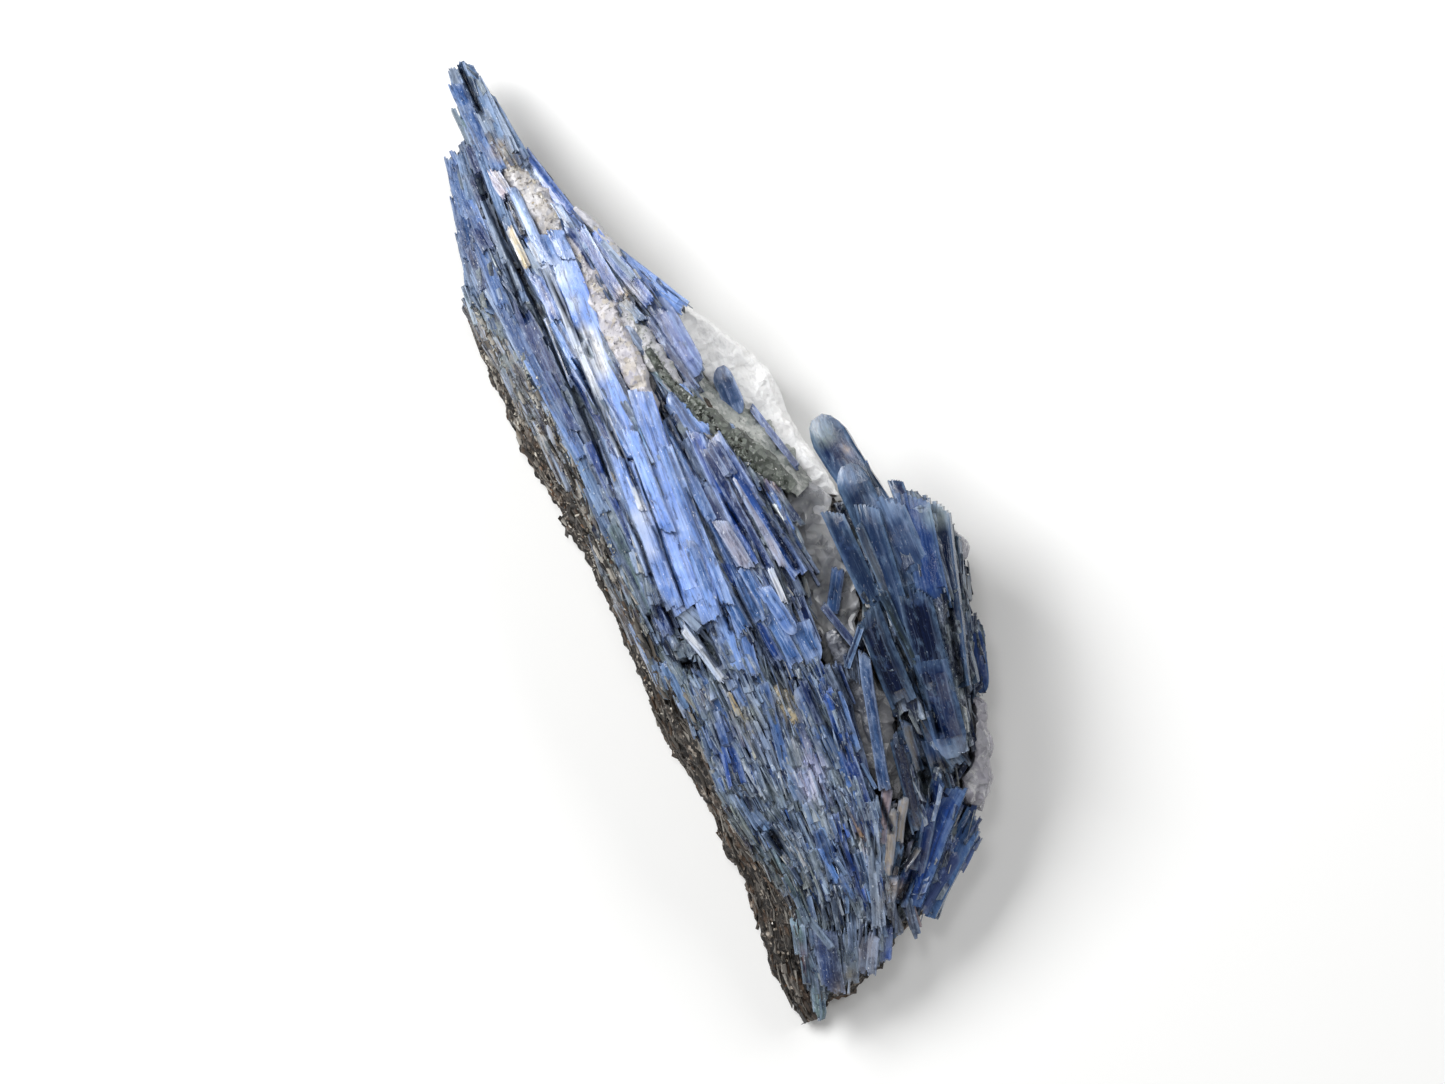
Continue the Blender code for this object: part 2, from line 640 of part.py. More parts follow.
# Rows are blades: first end, second end and width in pixels, then each end's height over the relief in mm
TIP_BLADES = (
    (450, 62, 486, 150, 12, 3.0, 2.4, {"depth": 3.6, "tips": (0.5, 1.0)}),
    (456, 57, 502, 158, 11, 3.6, 3.0, {"depth": 4.6, "tips": (0.4, 1.0)}),
    (464, 62, 514, 160, 12, 3.0, 2.6, {"depth": 4.6, "tips": (0.5, 1.0)}),
    (478, 84, 524, 168, 12, 1.8, 1.8, {"depth": 3.6, "tips": (0.5, 1.0)}),
    (470, 95, 500, 180, 16, 2.0, 1.2, {"depth": 4.6}),
    (458, 110, 478, 158, 8, 1.2, 0.8, {"depth": 3.4}),
    (487, 98, 531, 172, 9, 0.6, 0.6, {"depth": 3.0}),
)
LEFT_BLADES = (
    (453, 156, 473, 290, 13, 0.8, 1.6, {"depth": 5.4}),
    (460, 150, 488, 300, 14, 1.6, 1.8, {"depth": 5.4}),
    (470, 145, 505, 260, 10, 2.2, 1.6),
    (478, 170, 520, 270, 9, 1.6, 0.8),
    (480, 225, 545, 400, 14, 2.0, 1.6, {"roll": -12.0}),
    (498, 240, 560, 430, 12, 1.2, 1.0, {"roll": -10.0}),
    (512, 290, 585, 470, 16, 0.2, 0.6, {"roll": 14.0}),
    (545, 345, 602, 484, 14, 0.2, 0.8),
    (560, 430, 614, 566, 12, 0.6, 0.8),
    (470, 290, 530, 400, 12, 0.8, 0.4, {"roll": -14.0}),
    (500, 345, 572, 474, 12, 0.2, 0.2, {"roll": -14.0}),
    (560, 385, 622, 560, 10, -0.2, 0.4),
    (585, 430, 642, 584, 12, 0.4, 1.0),
    (600, 540, 652, 650, 12, 0.4, 0.6, {"roll": -12.0}),
)
CENTRE_BLADES = (
    (560, 262, 690, 602, 34, 3.0, 3.4, {"roll": -5.0}),
    (545, 262, 676, 600, 13, 3.0, 3.7, {"roll": -16.0}),
    (596, 392, 662, 608, 15, 2.6, 2.8, {"roll": -14.0}),
    (528, 282, 602, 424, 12, 1.8, 2.0),
    (552, 340, 642, 544, 12, 1.6, 1.8, {"roll": -10.0}),
    (640, 430, 722, 612, 18, 2.2, 2.8, {"roll": 8.0}),
    (655, 445, 745, 640, 15, 1.2, 2.0),
    (690, 560, 752, 672, 14, 1.6, 1.6),
    (668, 520, 735, 665, 13, 2.2, 2.2, {"roll": -10.0}),
    (700, 620, 738, 684, 11, 1.2, 1.0),
    (540, 232, 575, 275, 32, 2.0, 2.4),
    (510, 190, 545, 260, 12, 1.6, 1.8),
    (480, 180, 545, 300, 9, 0.4, 0.6),
    (655, 590, 674, 654, 20, 0.8, 0.4, {"tips": (1.0, 0.6)}),
    (683, 640, 692, 664, 12, 0.6, 0.4, {"tips": BLUNT}),
    (638, 626, 668, 690, 11, 0.0, 0.2, {"roll": -10.0}),
    (664, 660, 690, 714, 12, -0.2, 0.0),
    (684, 632, 722, 680, 6, 0.8, 0.8, {"roll": 20.0}),
    (700, 672, 722, 716, 11, 0.0, 0.2),
    (728, 668, 748, 712, 10, 0.4, 0.2),
    (748, 652, 772, 702, 10, 0.2, 0.2),
    (788, 652, 812, 704, 12, 0.2, 0.4),
    (814, 660, 838, 702, 10, -0.2, 0.2),
)
MIDDLE_BLADES = (
    (668, 388, 716, 446, 26, -0.4, 0.4, {"tips": BLUNT}),
    (666, 410, 790, 604, 10, 0.6, 1.2, {"roll": 16.0}),
    (718, 438, 797, 574, 15, 1.6, 2.2, {"roll": 18.0}),
    (700, 440, 776, 564, 12, 1.2, 1.4, {"roll": 12.0}),
    (700, 480, 792, 630, 14, 0.8, 1.4),
    (680, 470, 770, 622, 14, 0.6, 1.0, {"roll": 10.0}),
    (664, 440, 736, 564, 13, 0.2, 0.6),
    (700, 520, 776, 656, 13, 0.4, 1.0, {"roll": -8.0}),
    (762, 600, 780, 656, 6, 1.4, 1.2),
    (775, 600, 818, 664, 22, 0.4, 0.2, {"tips": (1.0, 0.6)}),
    (778, 488, 808, 612, 10, -3.6, -2.6),
    (770, 560, 806, 640, 9, -0.4, 0.2),
)
UPPER_BLADES = (
    (620, 325, 645, 356, 12, 0.0, -0.2, {"tips": (0.6, 1.0)}),
    (640, 310, 692, 388, 11, -1.0, -1.2),
    (650, 292, 702, 384, 21, -2.0, -2.4, {"tips": (0.6, 0.7)}),
    (655, 365, 692, 404, 13, -1.2, -1.2),
    (522, 150, 575, 216, 10, 0.4, 0.4, {"depth": 4.0}),
    (545, 180, 584, 226, 9, 0.0, 0.4, {"depth": 4.0}),
    (570, 222, 628, 304, 12, 1.2, 1.0),
    (590, 228, 652, 304, 14, 0.8, 0.6),
    (615, 257, 680, 306, 14, -0.8, -1.6, {"depth": 4.0}),
    (600, 240, 642, 292, 10, 0.6, 0.4),
    (568, 228, 615, 312, 11, 1.8, 1.2),
    (640, 276, 680, 307, 10, -1.6, -2.4, {"depth": 3.6}),
)
LOWER_BLADES = (
    (712, 690, 738, 784, 16, -0.6, -0.4),
    (760, 690, 790, 784, 12, 0.2, 0.4),
    (775, 680, 812, 792, 12, 0.6, 0.6),
    (735, 700, 758, 752, 11, 0.2, 0.2),
    (725, 770, 757, 808, 11, 0.0, 0.2),
    (800, 690, 850, 802, 14, 1.0, 1.2, {"roll": 8.0}),
    (826, 690, 868, 828, 15, 1.6, 1.8, {"roll": 10.0}),
    (866, 655, 884, 790, 10, 2.2, 2.6),
    (870, 800, 880, 930, 12, 1.6, 2.6),
    (860, 850, 880, 922, 10, 1.0, 1.2),
    (840, 940, 826, 992, 18, 0.4, 0.4),
    (740, 790, 790, 860, 10, 0.2, 0.4),
    (775, 800, 822, 890, 11, 0.6, 0.6),
    (806, 800, 846, 880, 12, 0.4, 0.8),
    (838, 812, 862, 890, 10, 0.8, 0.8),
    (770, 850, 812, 922, 10, 0.0, 0.2),
    (806, 886, 836, 950, 12, 0.2, 0.4),
    (848, 880, 862, 962, 11, 0.4, 0.4),
    (796, 906, 820, 974, 11, -0.4, 0.2),
    (690, 706, 716, 760, 10, -0.6, -0.2),
    (752, 740, 786, 812, 9, 0.6, 0.4),
    (812, 940, 822, 1000, 10, -0.2, -0.2),
    (866, 934, 852, 984, 12, -0.2, -0.2),
    (770, 812, 802, 868, 9, 0.8, 0.6),
)
RIGHT_BLADES = (
    (814, 419, 900, 556, 30, -2.2, -0.6, {"depth": 4.6, "tips": (0.5, 1.0), "roll": 10.0}),
    (848, 466, 905, 602, 28, 1.2, 0.8, {"depth": 5.4, "tips": (0.6, 1.0), "roll": 14.0}),
    (880, 495, 912, 566, 32, 2.2, 2.4, {"roll": 6.0}),
    (864, 507, 900, 624, 20, 1.8, 2.0, {"roll": 16.0}),
    (832, 512, 875, 604, 17, 0.2, 0.4),
    (860, 528, 890, 604, 9, 1.6, 1.2),
    (898, 500, 906, 534, 12, 1.0, 1.0, {"depth": 5.0}),
    (913, 503, 936, 604, 27, 4.2, 3.4, {"roll": 6.0}),
    (934, 510, 955, 684, 22, 1.6, 3.0, {"roll": 18.0}),
    (912, 487, 925, 524, 20, 0.6, 1.4, {"depth": 5.0, "tips": BLUNT}),
    (951, 534, 963, 640, 11, -3.0, -2.0, {"depth": 5.4, "roll": 20.0}),
    (897, 485, 906, 514, 12, -0.6, 0.4, {"depth": 4.6}),
    (962, 566, 965, 650, 8, -6.4, -6.0, {"depth": 5.0}),
    (977, 621, 983, 692, 13, -7.0, -6.0, {"depth": 6.0, "tips": BLUNT}),
    (925, 600, 956, 757, 34, 4.0, 3.0, {"roll": 10.0}),
    (862, 625, 958, 760, 15, 0.4, 1.0, {"roll": 10.0}),
    (878, 625, 922, 724, 18, 1.4, 1.6, {"roll": 12.0}),
    (905, 600, 946, 702, 12, 1.8, 1.8),
    (942, 590, 966, 682, 18, -0.4, -0.6, {"roll": 18.0}),
    (890, 590, 920, 684, 14, 1.8, 1.8),
    (898, 735, 925, 838, 13, 1.8, 1.6, {"roll": 10.0}),
    (930, 740, 952, 800, 14, 0.6, 0.0),
    (950, 560, 958, 640, 12, -9.0, -8.0, {"depth": 4.0, "roll": 20.0}),
    (962, 640, 972, 716, 13, -9.5, -8.0, {"depth": 4.0, "roll": 20.0}),
)
LOW_RIGHT_BLADES = (
    (948, 795, 905, 900, 28, 1.0, 1.2, {"roll": 12.0}),
    (972, 822, 925, 915, 19, -1.6, -0.4, {"roll": 16.0}),
    (975, 838, 958, 872, 13, -2.8, -2.0, {"depth": 5.0}),
    (958, 858, 925, 912, 13, -1.0, -0.4),
    (940, 770, 915, 880, 13, 1.8, 1.6),
    (918, 840, 900, 905, 15, 1.6, 1.4),
    (897, 845, 888, 912, 11, 1.4, 1.6),
    (895, 810, 887, 870, 9, 1.8, 1.6),
    (884, 926, 892, 942, 11, -0.4, -0.4, {"depth": 4.0}),
    (966, 806, 950, 872, 12, -5.0, -4.0, {"depth": 4.0, "roll": 20.0}),
)
MAIN_BLADES = TIP_BLADES + LEFT_BLADES + CENTRE_BLADES + MIDDLE_BLADES + UPPER_BLADES + LOWER_BLADES
FAN_BLADES = RIGHT_BLADES + LOW_RIGHT_BLADES
SHOULDER_CRYSTAL = (716, 364, 738, 412, 17, 2.6, 2.4, {"depth": 3.4, "tips": (0.35, 0.4)})
SHOULDER_NEEDLE = (750, 405, 800, 470, 6, 1.4, 1.4, {"depth": 3.4})
HOLLOW_CRYSTAL = (838, 567, 832, 614, 12, 2.0, 1.6, {"depth": 3.4, "tips": BLUNT})
# Blades that have a splinter beside them
MAIN_WITH_SPLINTERS = LEFT_BLADES[2:] + CENTRE_BLADES[3:7] + MIDDLE_BLADES[3:6] + LOWER_BLADES[:12]
FAN_WITH_SPLINTERS = RIGHT_BLADES[2:6] + RIGHT_BLADES[15:17] + LOW_RIGHT_BLADES[:3]
MAIN_SEED = 31
FAN_SEED = 41
SHOULDER_CRYSTAL_SEED = 51
SHOULDER_NEEDLE_SEED = 52
HOLLOW_CRYSTAL_SEED = 53
MAIN_CRUST_CELL = 7.0
FAN_CRUST_CELL = 6.4
# The right spray's foot runs down over the schist's side from this far across, by this law
FAN_FOOT_FROM = 36.0
FAN_FOOT_FALL = 0.12
FAN_FOOT_POWER = 1.3


def main_pieces():
    """Crust, blades and splinters of the long spray."""
    rng = random.Random(MAIN_SEED)
    crust = lump(MAIN_OUTLINE, crust_top, below_bed, MAIN_CRUST_CELL, edge_drop=1.1, lean=0.3,
                 seed=MAIN_SEED + 1, stretch=1.6)
    laths = [blade(row, rng) for row in MAIN_BLADES]
    laths += [splinter(row, rng) for row in MAIN_WITH_SPLINTERS]
    return [crust] + laths


def fan_foot(x, y):
    """Underside of the right spray."""
    across = ORIGIN_ACROSS - y
    return below_bed(x, y) - FAN_FOOT_FALL * max(0.0, across - FAN_FOOT_FROM) ** FAN_FOOT_POWER


def fan_pieces():
    """Crust, blades and splinters of the right spray."""
    rng = random.Random(FAN_SEED)
    crust = lump(FAN_OUTLINE, crust_top, fan_foot, FAN_CRUST_CELL, edge_drop=1.6, lean=0.5,
                 seed=FAN_SEED + 1, stretch=1.3)
    laths = [blade(row, rng) for row in FAN_BLADES]
    laths += [splinter(row, rng) for row in FAN_WITH_SPLINTERS]
    return [crust] + laths


def build():
    for old in list(bpy.data.objects):
        bpy.data.objects.remove(old)
    schist = finish_of("mica schist", colour=(0.045, 0.040, 0.036), roughness=0.7)
    blue = finish_of("blue kyanite", colour=(0.10, 0.20, 0.50), roughness=0.32, ior=1.72)
    pale = finish_of("grey-blue kyanite", colour=(0.16, 0.22, 0.30), roughness=0.38, ior=1.72)
    clear = finish_of("grey quartz", colour=(0.55, 0.56, 0.60), roughness=0.15, ior=1.544, transmission=0.8)

    matrix = tidied(as_object(schist_body(), "schist_matrix"))
    made = [(matrix, schist)]

    quartz = list(quartz_bodies())
    for k, name in enumerate(quartz):
        body = as_object(quartz_bodies()[name], name)
        earlier = [grown(quartz_bodies()[other]) for other in quartz[:k]]
        combined(body, [grown(schist_body())] + earlier, "DIFFERENCE")
        made.append((tidied(body), clear))

    main = main_pieces()
    spray = combined(as_object(main[0], "kyanite_main_spray"), main[1:], "UNION")
    keep_out = [grown(schist_body())] + [grown(bm) for bm in quartz_bodies().values()]
    combined(spray, keep_out, "DIFFERENCE")
    made.append((tidied(spray), blue))

    fan = fan_pieces()
    right = combined(as_object(fan[0], "kyanite_right_fan"), fan[1:], "UNION")
    keep_out = [grown(schist_body())] + [grown(bm) for bm in quartz_bodies().values()]
    keep_out += [grown(bm) for bm in main_pieces()]
    combined(right, keep_out, "DIFFERENCE")
    made.append((tidied(right), blue))

    lone = (
        ("kyanite_shoulder_crystal", SHOULDER_CRYSTAL, shoulder_top, SHOULDER_CRYSTAL_SEED, blue),
        ("kyanite_shoulder_needle", SHOULDER_NEEDLE, shoulder_top, SHOULDER_NEEDLE_SEED, pale),
        ("kyanite_hollow_crystal", HOLLOW_CRYSTAL, hollow_top, HOLLOW_CRYSTAL_SEED, blue),
    )
    for name, row, surface, seed, material in lone:
        crystal = as_object(blade(row, random.Random(seed), surface), name)
        keep_out = [grown(schist_body())] + [grown(bm) for bm in quartz_bodies().values()]
        keep_out += [grown(bm) for bm in main_pieces() + fan_pieces()]
        combined(crystal, keep_out, "DIFFERENCE")
        made.append((tidied(crystal), material))

    for piece, material in made:
        place_in_metres(piece, material)


build()
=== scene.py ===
import json
import math
import random

import bmesh
import bpy
import numpy as np
from mathutils import Matrix, Vector, noise
from mathutils.bvhtree import BVHTree

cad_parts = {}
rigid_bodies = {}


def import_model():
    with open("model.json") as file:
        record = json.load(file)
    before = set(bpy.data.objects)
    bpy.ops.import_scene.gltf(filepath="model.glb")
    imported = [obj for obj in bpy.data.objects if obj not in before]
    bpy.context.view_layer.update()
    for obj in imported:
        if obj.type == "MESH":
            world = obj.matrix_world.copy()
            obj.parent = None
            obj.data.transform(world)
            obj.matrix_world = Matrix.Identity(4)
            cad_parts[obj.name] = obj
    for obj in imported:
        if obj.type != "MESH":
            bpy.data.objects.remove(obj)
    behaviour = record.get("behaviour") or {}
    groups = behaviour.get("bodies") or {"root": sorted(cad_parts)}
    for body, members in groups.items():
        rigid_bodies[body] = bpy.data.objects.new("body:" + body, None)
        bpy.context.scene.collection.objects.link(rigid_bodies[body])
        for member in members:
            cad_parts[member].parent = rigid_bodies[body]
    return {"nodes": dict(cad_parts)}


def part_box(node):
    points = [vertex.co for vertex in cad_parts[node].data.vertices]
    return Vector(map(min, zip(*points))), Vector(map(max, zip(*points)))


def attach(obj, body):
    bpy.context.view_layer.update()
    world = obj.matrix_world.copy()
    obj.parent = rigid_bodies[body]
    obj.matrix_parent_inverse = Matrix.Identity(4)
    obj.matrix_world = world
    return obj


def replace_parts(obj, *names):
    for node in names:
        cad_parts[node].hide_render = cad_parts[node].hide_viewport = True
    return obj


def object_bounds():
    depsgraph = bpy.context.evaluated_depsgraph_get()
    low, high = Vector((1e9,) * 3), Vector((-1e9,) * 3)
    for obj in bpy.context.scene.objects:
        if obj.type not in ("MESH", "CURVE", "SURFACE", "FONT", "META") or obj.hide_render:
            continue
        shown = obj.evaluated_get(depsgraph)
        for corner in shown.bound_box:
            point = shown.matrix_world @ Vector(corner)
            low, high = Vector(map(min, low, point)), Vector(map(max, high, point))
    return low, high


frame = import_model()
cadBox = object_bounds()
print("frame loaded:", len(frame["nodes"]), "nodes")

# Without a seed the noise is shifted by the clock, and each run would differ
noise.seed_set(5)

# Lengths in this script are millimetres until a mesh is made, which is in metres
toMetres = 0.001
inMm = (1000.0, 1000.0, 1000.0)
upwards = Vector((0, 0, 1))

# Where a pixel of the picture lies in plan
picture = {
    "length": 180.0,            # from the upper tip to the lower tip
    "topTip": (457.0, 57.0), "bottomTip": (813.0, 1026.0), "middle": (722.5, 542.0), "pixelsWide": 1445.0,
    "alongShift": 90.0, "acrossShift": 20.3,
}
tipRun = Vector(picture["topTip"]) - Vector(picture["bottomTip"])
mmPerPixel = picture["length"] / tipRun.length
alongDirection = tipRun.normalized()
acrossDirection = Vector((-alongDirection.y, alongDirection.x))


def planOf(pixelX, pixelY):
    step = (Vector((pixelX, pixelY)) - Vector(picture["bottomTip"])) * mmPerPixel
    return Vector((step.dot(alongDirection) - picture["alongShift"],
                   picture["acrossShift"] - step.dot(acrossDirection)))


def pixelsOf(points):
    # the way back, for an array of points
    along = (points[:, 0] + picture["alongShift"]) / mmPerPixel
    across = (picture["acrossShift"] - points[:, 1]) / mmPerPixel
    tip = np.array(picture["bottomTip"])
    return tip + np.outer(along, alongDirection) + np.outer(across, acrossDirection)


def stepsFrom(line, spots):
    # for each stretch of a line of pixels: its run, the step to each spot from its start, and the distance
    for a, b in zip(line, line[1:]):
        run = np.array(b, float) - a
        step = spots - a
        part = np.clip(step @ run / (run @ run), 0, 1)
        yield run, step, np.linalg.norm(step - np.outer(part, run), axis=1)


def pathDistance(spots, line):
    return np.min([distance for _, _, distance in stepsFrom(line, spots)], axis=0)


# The schist's upper edge in the picture: left of this line is schist, right of it are crystals
schistEdge = (
    (455, 296), (466, 306), (490, 330), (512, 352), (530, 385), (548, 412), (561, 440), (576, 472),
    (592, 512), (606, 542), (622, 580), (636, 612), (650, 646), (662, 680), (686, 702), (695, 735),
    (706, 766), (722, 800), (745, 840), (757, 860), (788, 880), (799, 920), (804, 950), (814, 985),
    (824, 1012), (830, 1040),
)


def insideEdge(points):
    # pixels from the schist's upper edge, more than 0 on the crystals' side
    spots = pixelsOf(points)
    best = signed = np.full(len(spots), 1e9)
    for run, step, distance in stepsFrom(schistEdge, spots):
        side = np.sign(step[:, 0] * run[1] - step[:, 1] * run[0])
        signed = np.where(distance < best, side * distance, signed)
        best = np.minimum(best, distance)
    return np.where(spots[:, 1] < schistEdge[0][1], 1e3, signed)


# The low dome of the crystal surface, and the rise of the right spray on it
dome = {
    "height": 31.0, "along": 88.0, "across": 5.0, "endFall": 22.0, "endReach": 90.0,
    "leftFall": 0.020, "rightFall": 0.0035,
    "fanRise": 4.0, "fanAlong": 52.0, "fanAcross": 42.0, "fanHalfLength": 35.0, "fanHalfWidth": 9.0,
}


def reliefAt(x, y):
    # the dome's height, for numbers or for arrays
    along = x + picture["alongShift"]
    side = picture["acrossShift"] - y - dome["across"]
    fall = np.where(side > 0, dome["rightFall"], dome["leftFall"])
    fanX = (along - dome["fanAlong"]) / dome["fanHalfLength"]
    fanY = (picture["acrossShift"] - y - dome["fanAcross"]) / dome["fanHalfWidth"]
    height = dome["height"] - dome["endFall"] * ((along - dome["along"]) / dome["endReach"]) ** 2
    return height - fall * side ** 2 + dome["fanRise"] * np.exp(-fanX ** 2 - fanY ** 2)


def reliefOf(points):
    return reliefAt(points[:, 0], points[:, 1])


# Colours

def linear(hexCode):
    values = [int(hexCode[k:k + 2], 16) / 255 for k in (1, 3, 5)]
    return [v / 12.92 if v <= 0.04045 else ((v + 0.055) / 1.055) ** 2.4 for v in values]


def addNode(tree, kind, settings=None, **inputs):
    # settings are the node's own options, inputs its sockets: a value, or a socket to link from
    node = tree.nodes.new(kind)
    for name, value in (settings or {}).items():
        setattr(node, name, value)
    for name, value in inputs.items():
        key = name.replace("_", " ")
        socket = node.inputs[int(key[2:])] if key.startswith("in") and key[2:].isdigit() else node.inputs[key]
        if isinstance(value, bpy.types.NodeSocket):
            tree.links.new(value, socket)
        else:
            socket.default_value = value
    return node


def newMaterial(name, plain):
    # plain are the shader's sockets that are the same all over; place is the pattern's place on the piece
    material = bpy.data.materials.new(name)
    material.use_nodes = True
    for key, value in plain.items():
        material.node_tree.nodes["Principled BSDF"].inputs[key].default_value = value
    place = addNode(material.node_tree, "ShaderNodeTexCoord").outputs["Object"]
    return material, material.node_tree, place


def finished(material, colour, bumps, roughness=None):
    # bumps are patterns, each with its strength and its depth in mm
    tree = material.node_tree
    normal = None
    for height, strength, depth in bumps:
        bump = addNode(tree, "ShaderNodeBump", Strength=strength, Distance=depth * toMetres, Height=height)
        if normal is not None:
            tree.links.new(normal, bump.inputs["Normal"])
        normal = bump.outputs["Normal"]
    for key, socket in (("Base Color", colour), ("Roughness", roughness), ("Normal", normal)):
        if socket is not None:
            tree.links.new(socket, tree.nodes["Principled BSDF"].inputs[key])
    return material


def attribute(tree, name, output="Color"):
    return addNode(tree, "ShaderNodeAttribute", {"attribute_name": name}).outputs[output]


def vectorNode(tree, operation, **inputs):
    return addNode(tree, "ShaderNodeVectorMath", {"operation": operation}, **inputs).outputs[0]


def noiseNode(tree, vector, stretch, scale, detail=3.0, rough=0.55):
    # stretch is how often the pattern repeats in a millimetre, along each axis of the vector
    scaled = vectorNode(tree, "MULTIPLY", in0=vector, in1=stretch)
    return addNode(tree, "ShaderNodeTexNoise", Vector=scaled, Scale=scale, Detail=detail,
                   Roughness=rough).outputs["Fac"]


def spanNode(tree, value, low, high, toLow=0.0, toHigh=1.0):
    return addNode(tree, "ShaderNodeMapRange", {"clamp": True}, Value=value, From_Min=low, From_Max=high,
                   To_Min=toLow, To_Max=toHigh).outputs["Result"]


def mixNode(tree, factor, first, second, blend="MIX"):
    first, second = [(*linear(side), 1.0) if isinstance(side, str) else side for side in (first, second)]
    return addNode(tree, "ShaderNodeMix", {"data_type": "RGBA", "blend_type": blend}, in0=factor, in6=first,
                   in7=second).outputs[2]


def layered(tree, colour, *layers):
    # each layer's colour comes in, up to its strength, where its pattern runs from low to high
    for pattern, low, high, strength, over in layers:
        colour = mixNode(tree, spanNode(tree, pattern, low, high, 0.0, strength), colour, over)
    return colour


# Kyanite: glassy cleavage faces, striped along the blade, deep blue inside and pale at its edges. Its pale
# streaks are partly its own pale zones and partly painted highlight, and its white flecks and specks are
# painted glints
kyaniteFinish = {"paleStreakAndHighlight": "#B0C7EC", "streakDark": "#091A3E", "fleck": "#E8EEF6"}
# pale and dark are how strongly streaked, rim how pale the edges are, crust how much is weathered over
lookKeys = ("pale", "dark", "rim", "rimColour", "crust", "crustFrom", "crustColour", "roughness", "bump",
            "lines", "frost", "speck", "specular")
kyaniteLooks = {
    "blade": (0.65, 0.85, 0.60, "#B4C8F0", 0.38, 0.60, "#6C80A4", (0.06, 0.24), 0.45, 0.5, 0.50, 0.6, 0.5),
    "worn": (0.55, 1.0, 0.55, "#A2B4D4", 0.45, 0.53, "#77859A", (0.22, 0.42), 0.70, 0.65, 0.45, 0.6, 0.22),
    "fan": (0.22, 0.60, 0.5, "#7391B4", 0.38, 0.58, "#435A86", (0.08, 0.26), 0.30, 0.22, 0.32, 0.12, 0.35),
    "fibre": (0.80, 0.90, 0.50, "#B9C4D2", 0.60, 0.50, "#748085", (0.25, 0.45), 0.8, 0.6, 0.65, 0.6, 0.28),
}


def kyaniteMaterial(name, lookName):
    look = dict(zip(lookKeys, kyaniteLooks[lookName]))
    plain = {"Metallic": 0.0, "IOR": 1.72, "Specular IOR Level": look["specular"]}
    material, tree, place = newMaterial(name, plain)
    grain = addNode(tree, "ShaderNodeUVMap", {"uv_map": "grain"}).outputs[0]
    fine = noiseNode(tree, grain, (0.09, 3.0, 1.0), 1.0, 4.0)         # hairlines about 0.3 mm apart
    wide = noiseNode(tree, grain, (0.045, 0.85, 1.0), 1.0)            # bands about 1 mm wide
    cross = noiseNode(tree, grain, (1.3, 0.25, 1.0), 1.0)             # partings across the blade
    # painted glints: short white dashes across the striae
    fleck = noiseNode(tree, grain, (0.9, 2.6, 1.0), 1.0, 2.0)
    patch = noiseNode(tree, place, inMm, 0.20, 5.0, 0.65)
    mottle = noiseNode(tree, place, (350.0, 1000.0, 1000.0), 0.9, 5.0, 0.70)      # frosting over them all
    speck = noiseNode(tree, place, (900.0, 2000.0, 2000.0), 1.3, 2.0)
    deepen = noiseNode(tree, grain, (0.10, 0.28, 1.0), 1.0, 2.0)      # zones a few mm long
    pale, dark, rim, rimColour = look["pale"], look["dark"], look["rim"], look["rimColour"]
    deep = kyaniteFinish["streakDark"]
    colour = mixNode(tree, spanNode(tree, deepen, 0.36, 0.60, 0.75, 0.0), attribute(tree, "tint"),
                     (0.42, 0.53, 0.68, 1.0), "MULTIPLY")
    # pale streaks: partly the crystal's pale zones, partly painted highlight
    colour = layered(tree, colour, (wide, 0.53, 0.74, pale, kyaniteFinish["paleStreakAndHighlight"]),
                     (wide, 0.49, 0.30, dark, deep), (fine, 0.45, 0.30, look["lines"], deep),
                     (fine, 0.57, 0.72, 0.7 * pale, rimColour), (cross, 0.68, 0.76, 0.30, rimColour))
    edge = addNode(tree, "ShaderNodeMath", {"operation": "MULTIPLY"}, in0=attribute(tree, "rim", "Fac"),
                   in1=spanNode(tree, fleck, 0.3, 0.6, 0.3 * rim, rim)).outputs[0]
    # the last two layers are painted glints: white flecks and specks
    colour = layered(tree, mixNode(tree, edge, colour, rimColour),
                     (patch, look["crustFrom"], look["crustFrom"] + 0.10, look["crust"], look["crustColour"]),
                     (mottle, 0.54, 0.70, look["frost"], rimColour), (mottle, 0.46, 0.32, 0.85 * dark, deep),
                     (fleck, 0.68, 0.76, 0.7 * pale, kyaniteFinish["fleck"]),
                     (speck, 0.68, 0.73, look["speck"], kyaniteFinish["fleck"]))
    bumps = [(pattern, share * look["bump"], depth)
             for pattern, share, depth in ((fine, 0.55, 0.22), (fleck, 0.35, 0.15), (mottle, 0.6, 0.6))]
    return finished(material, colour, bumps, spanNode(tree, mottle, 0.40, 0.65, *look["roughness"]))


# Quartz: clear to milky, with curved breaks and healed cracks
def quartzMaterial():
    material, tree, place = newMaterial("vein quartz, conchoidal break", {
        "Metallic": 0.0, "IOR": 1.544, "Transmission Weight": 0.5,
    })
    cloud = noiseNode(tree, place, inMm, 0.22, 4.0)
    veil = noiseNode(tree, place, (260.0, 900.0, 1500.0), 0.9, 5.0, 0.65)
    colour = layered(tree, attribute(tree, "tint"), (cloud, 0.40, 0.66, 0.60, "#DCDDE2"),
                     (veil, 0.56, 0.64, 0.85, "#FFFFFF"))
    bumps = ((veil, 0.35, 0.35), (noiseNode(tree, place, inMm, 2.4), 0.18, 0.12))
    return finished(material, colour, bumps, spanNode(tree, cloud, 0.35, 0.7, 0.10, 0.34))


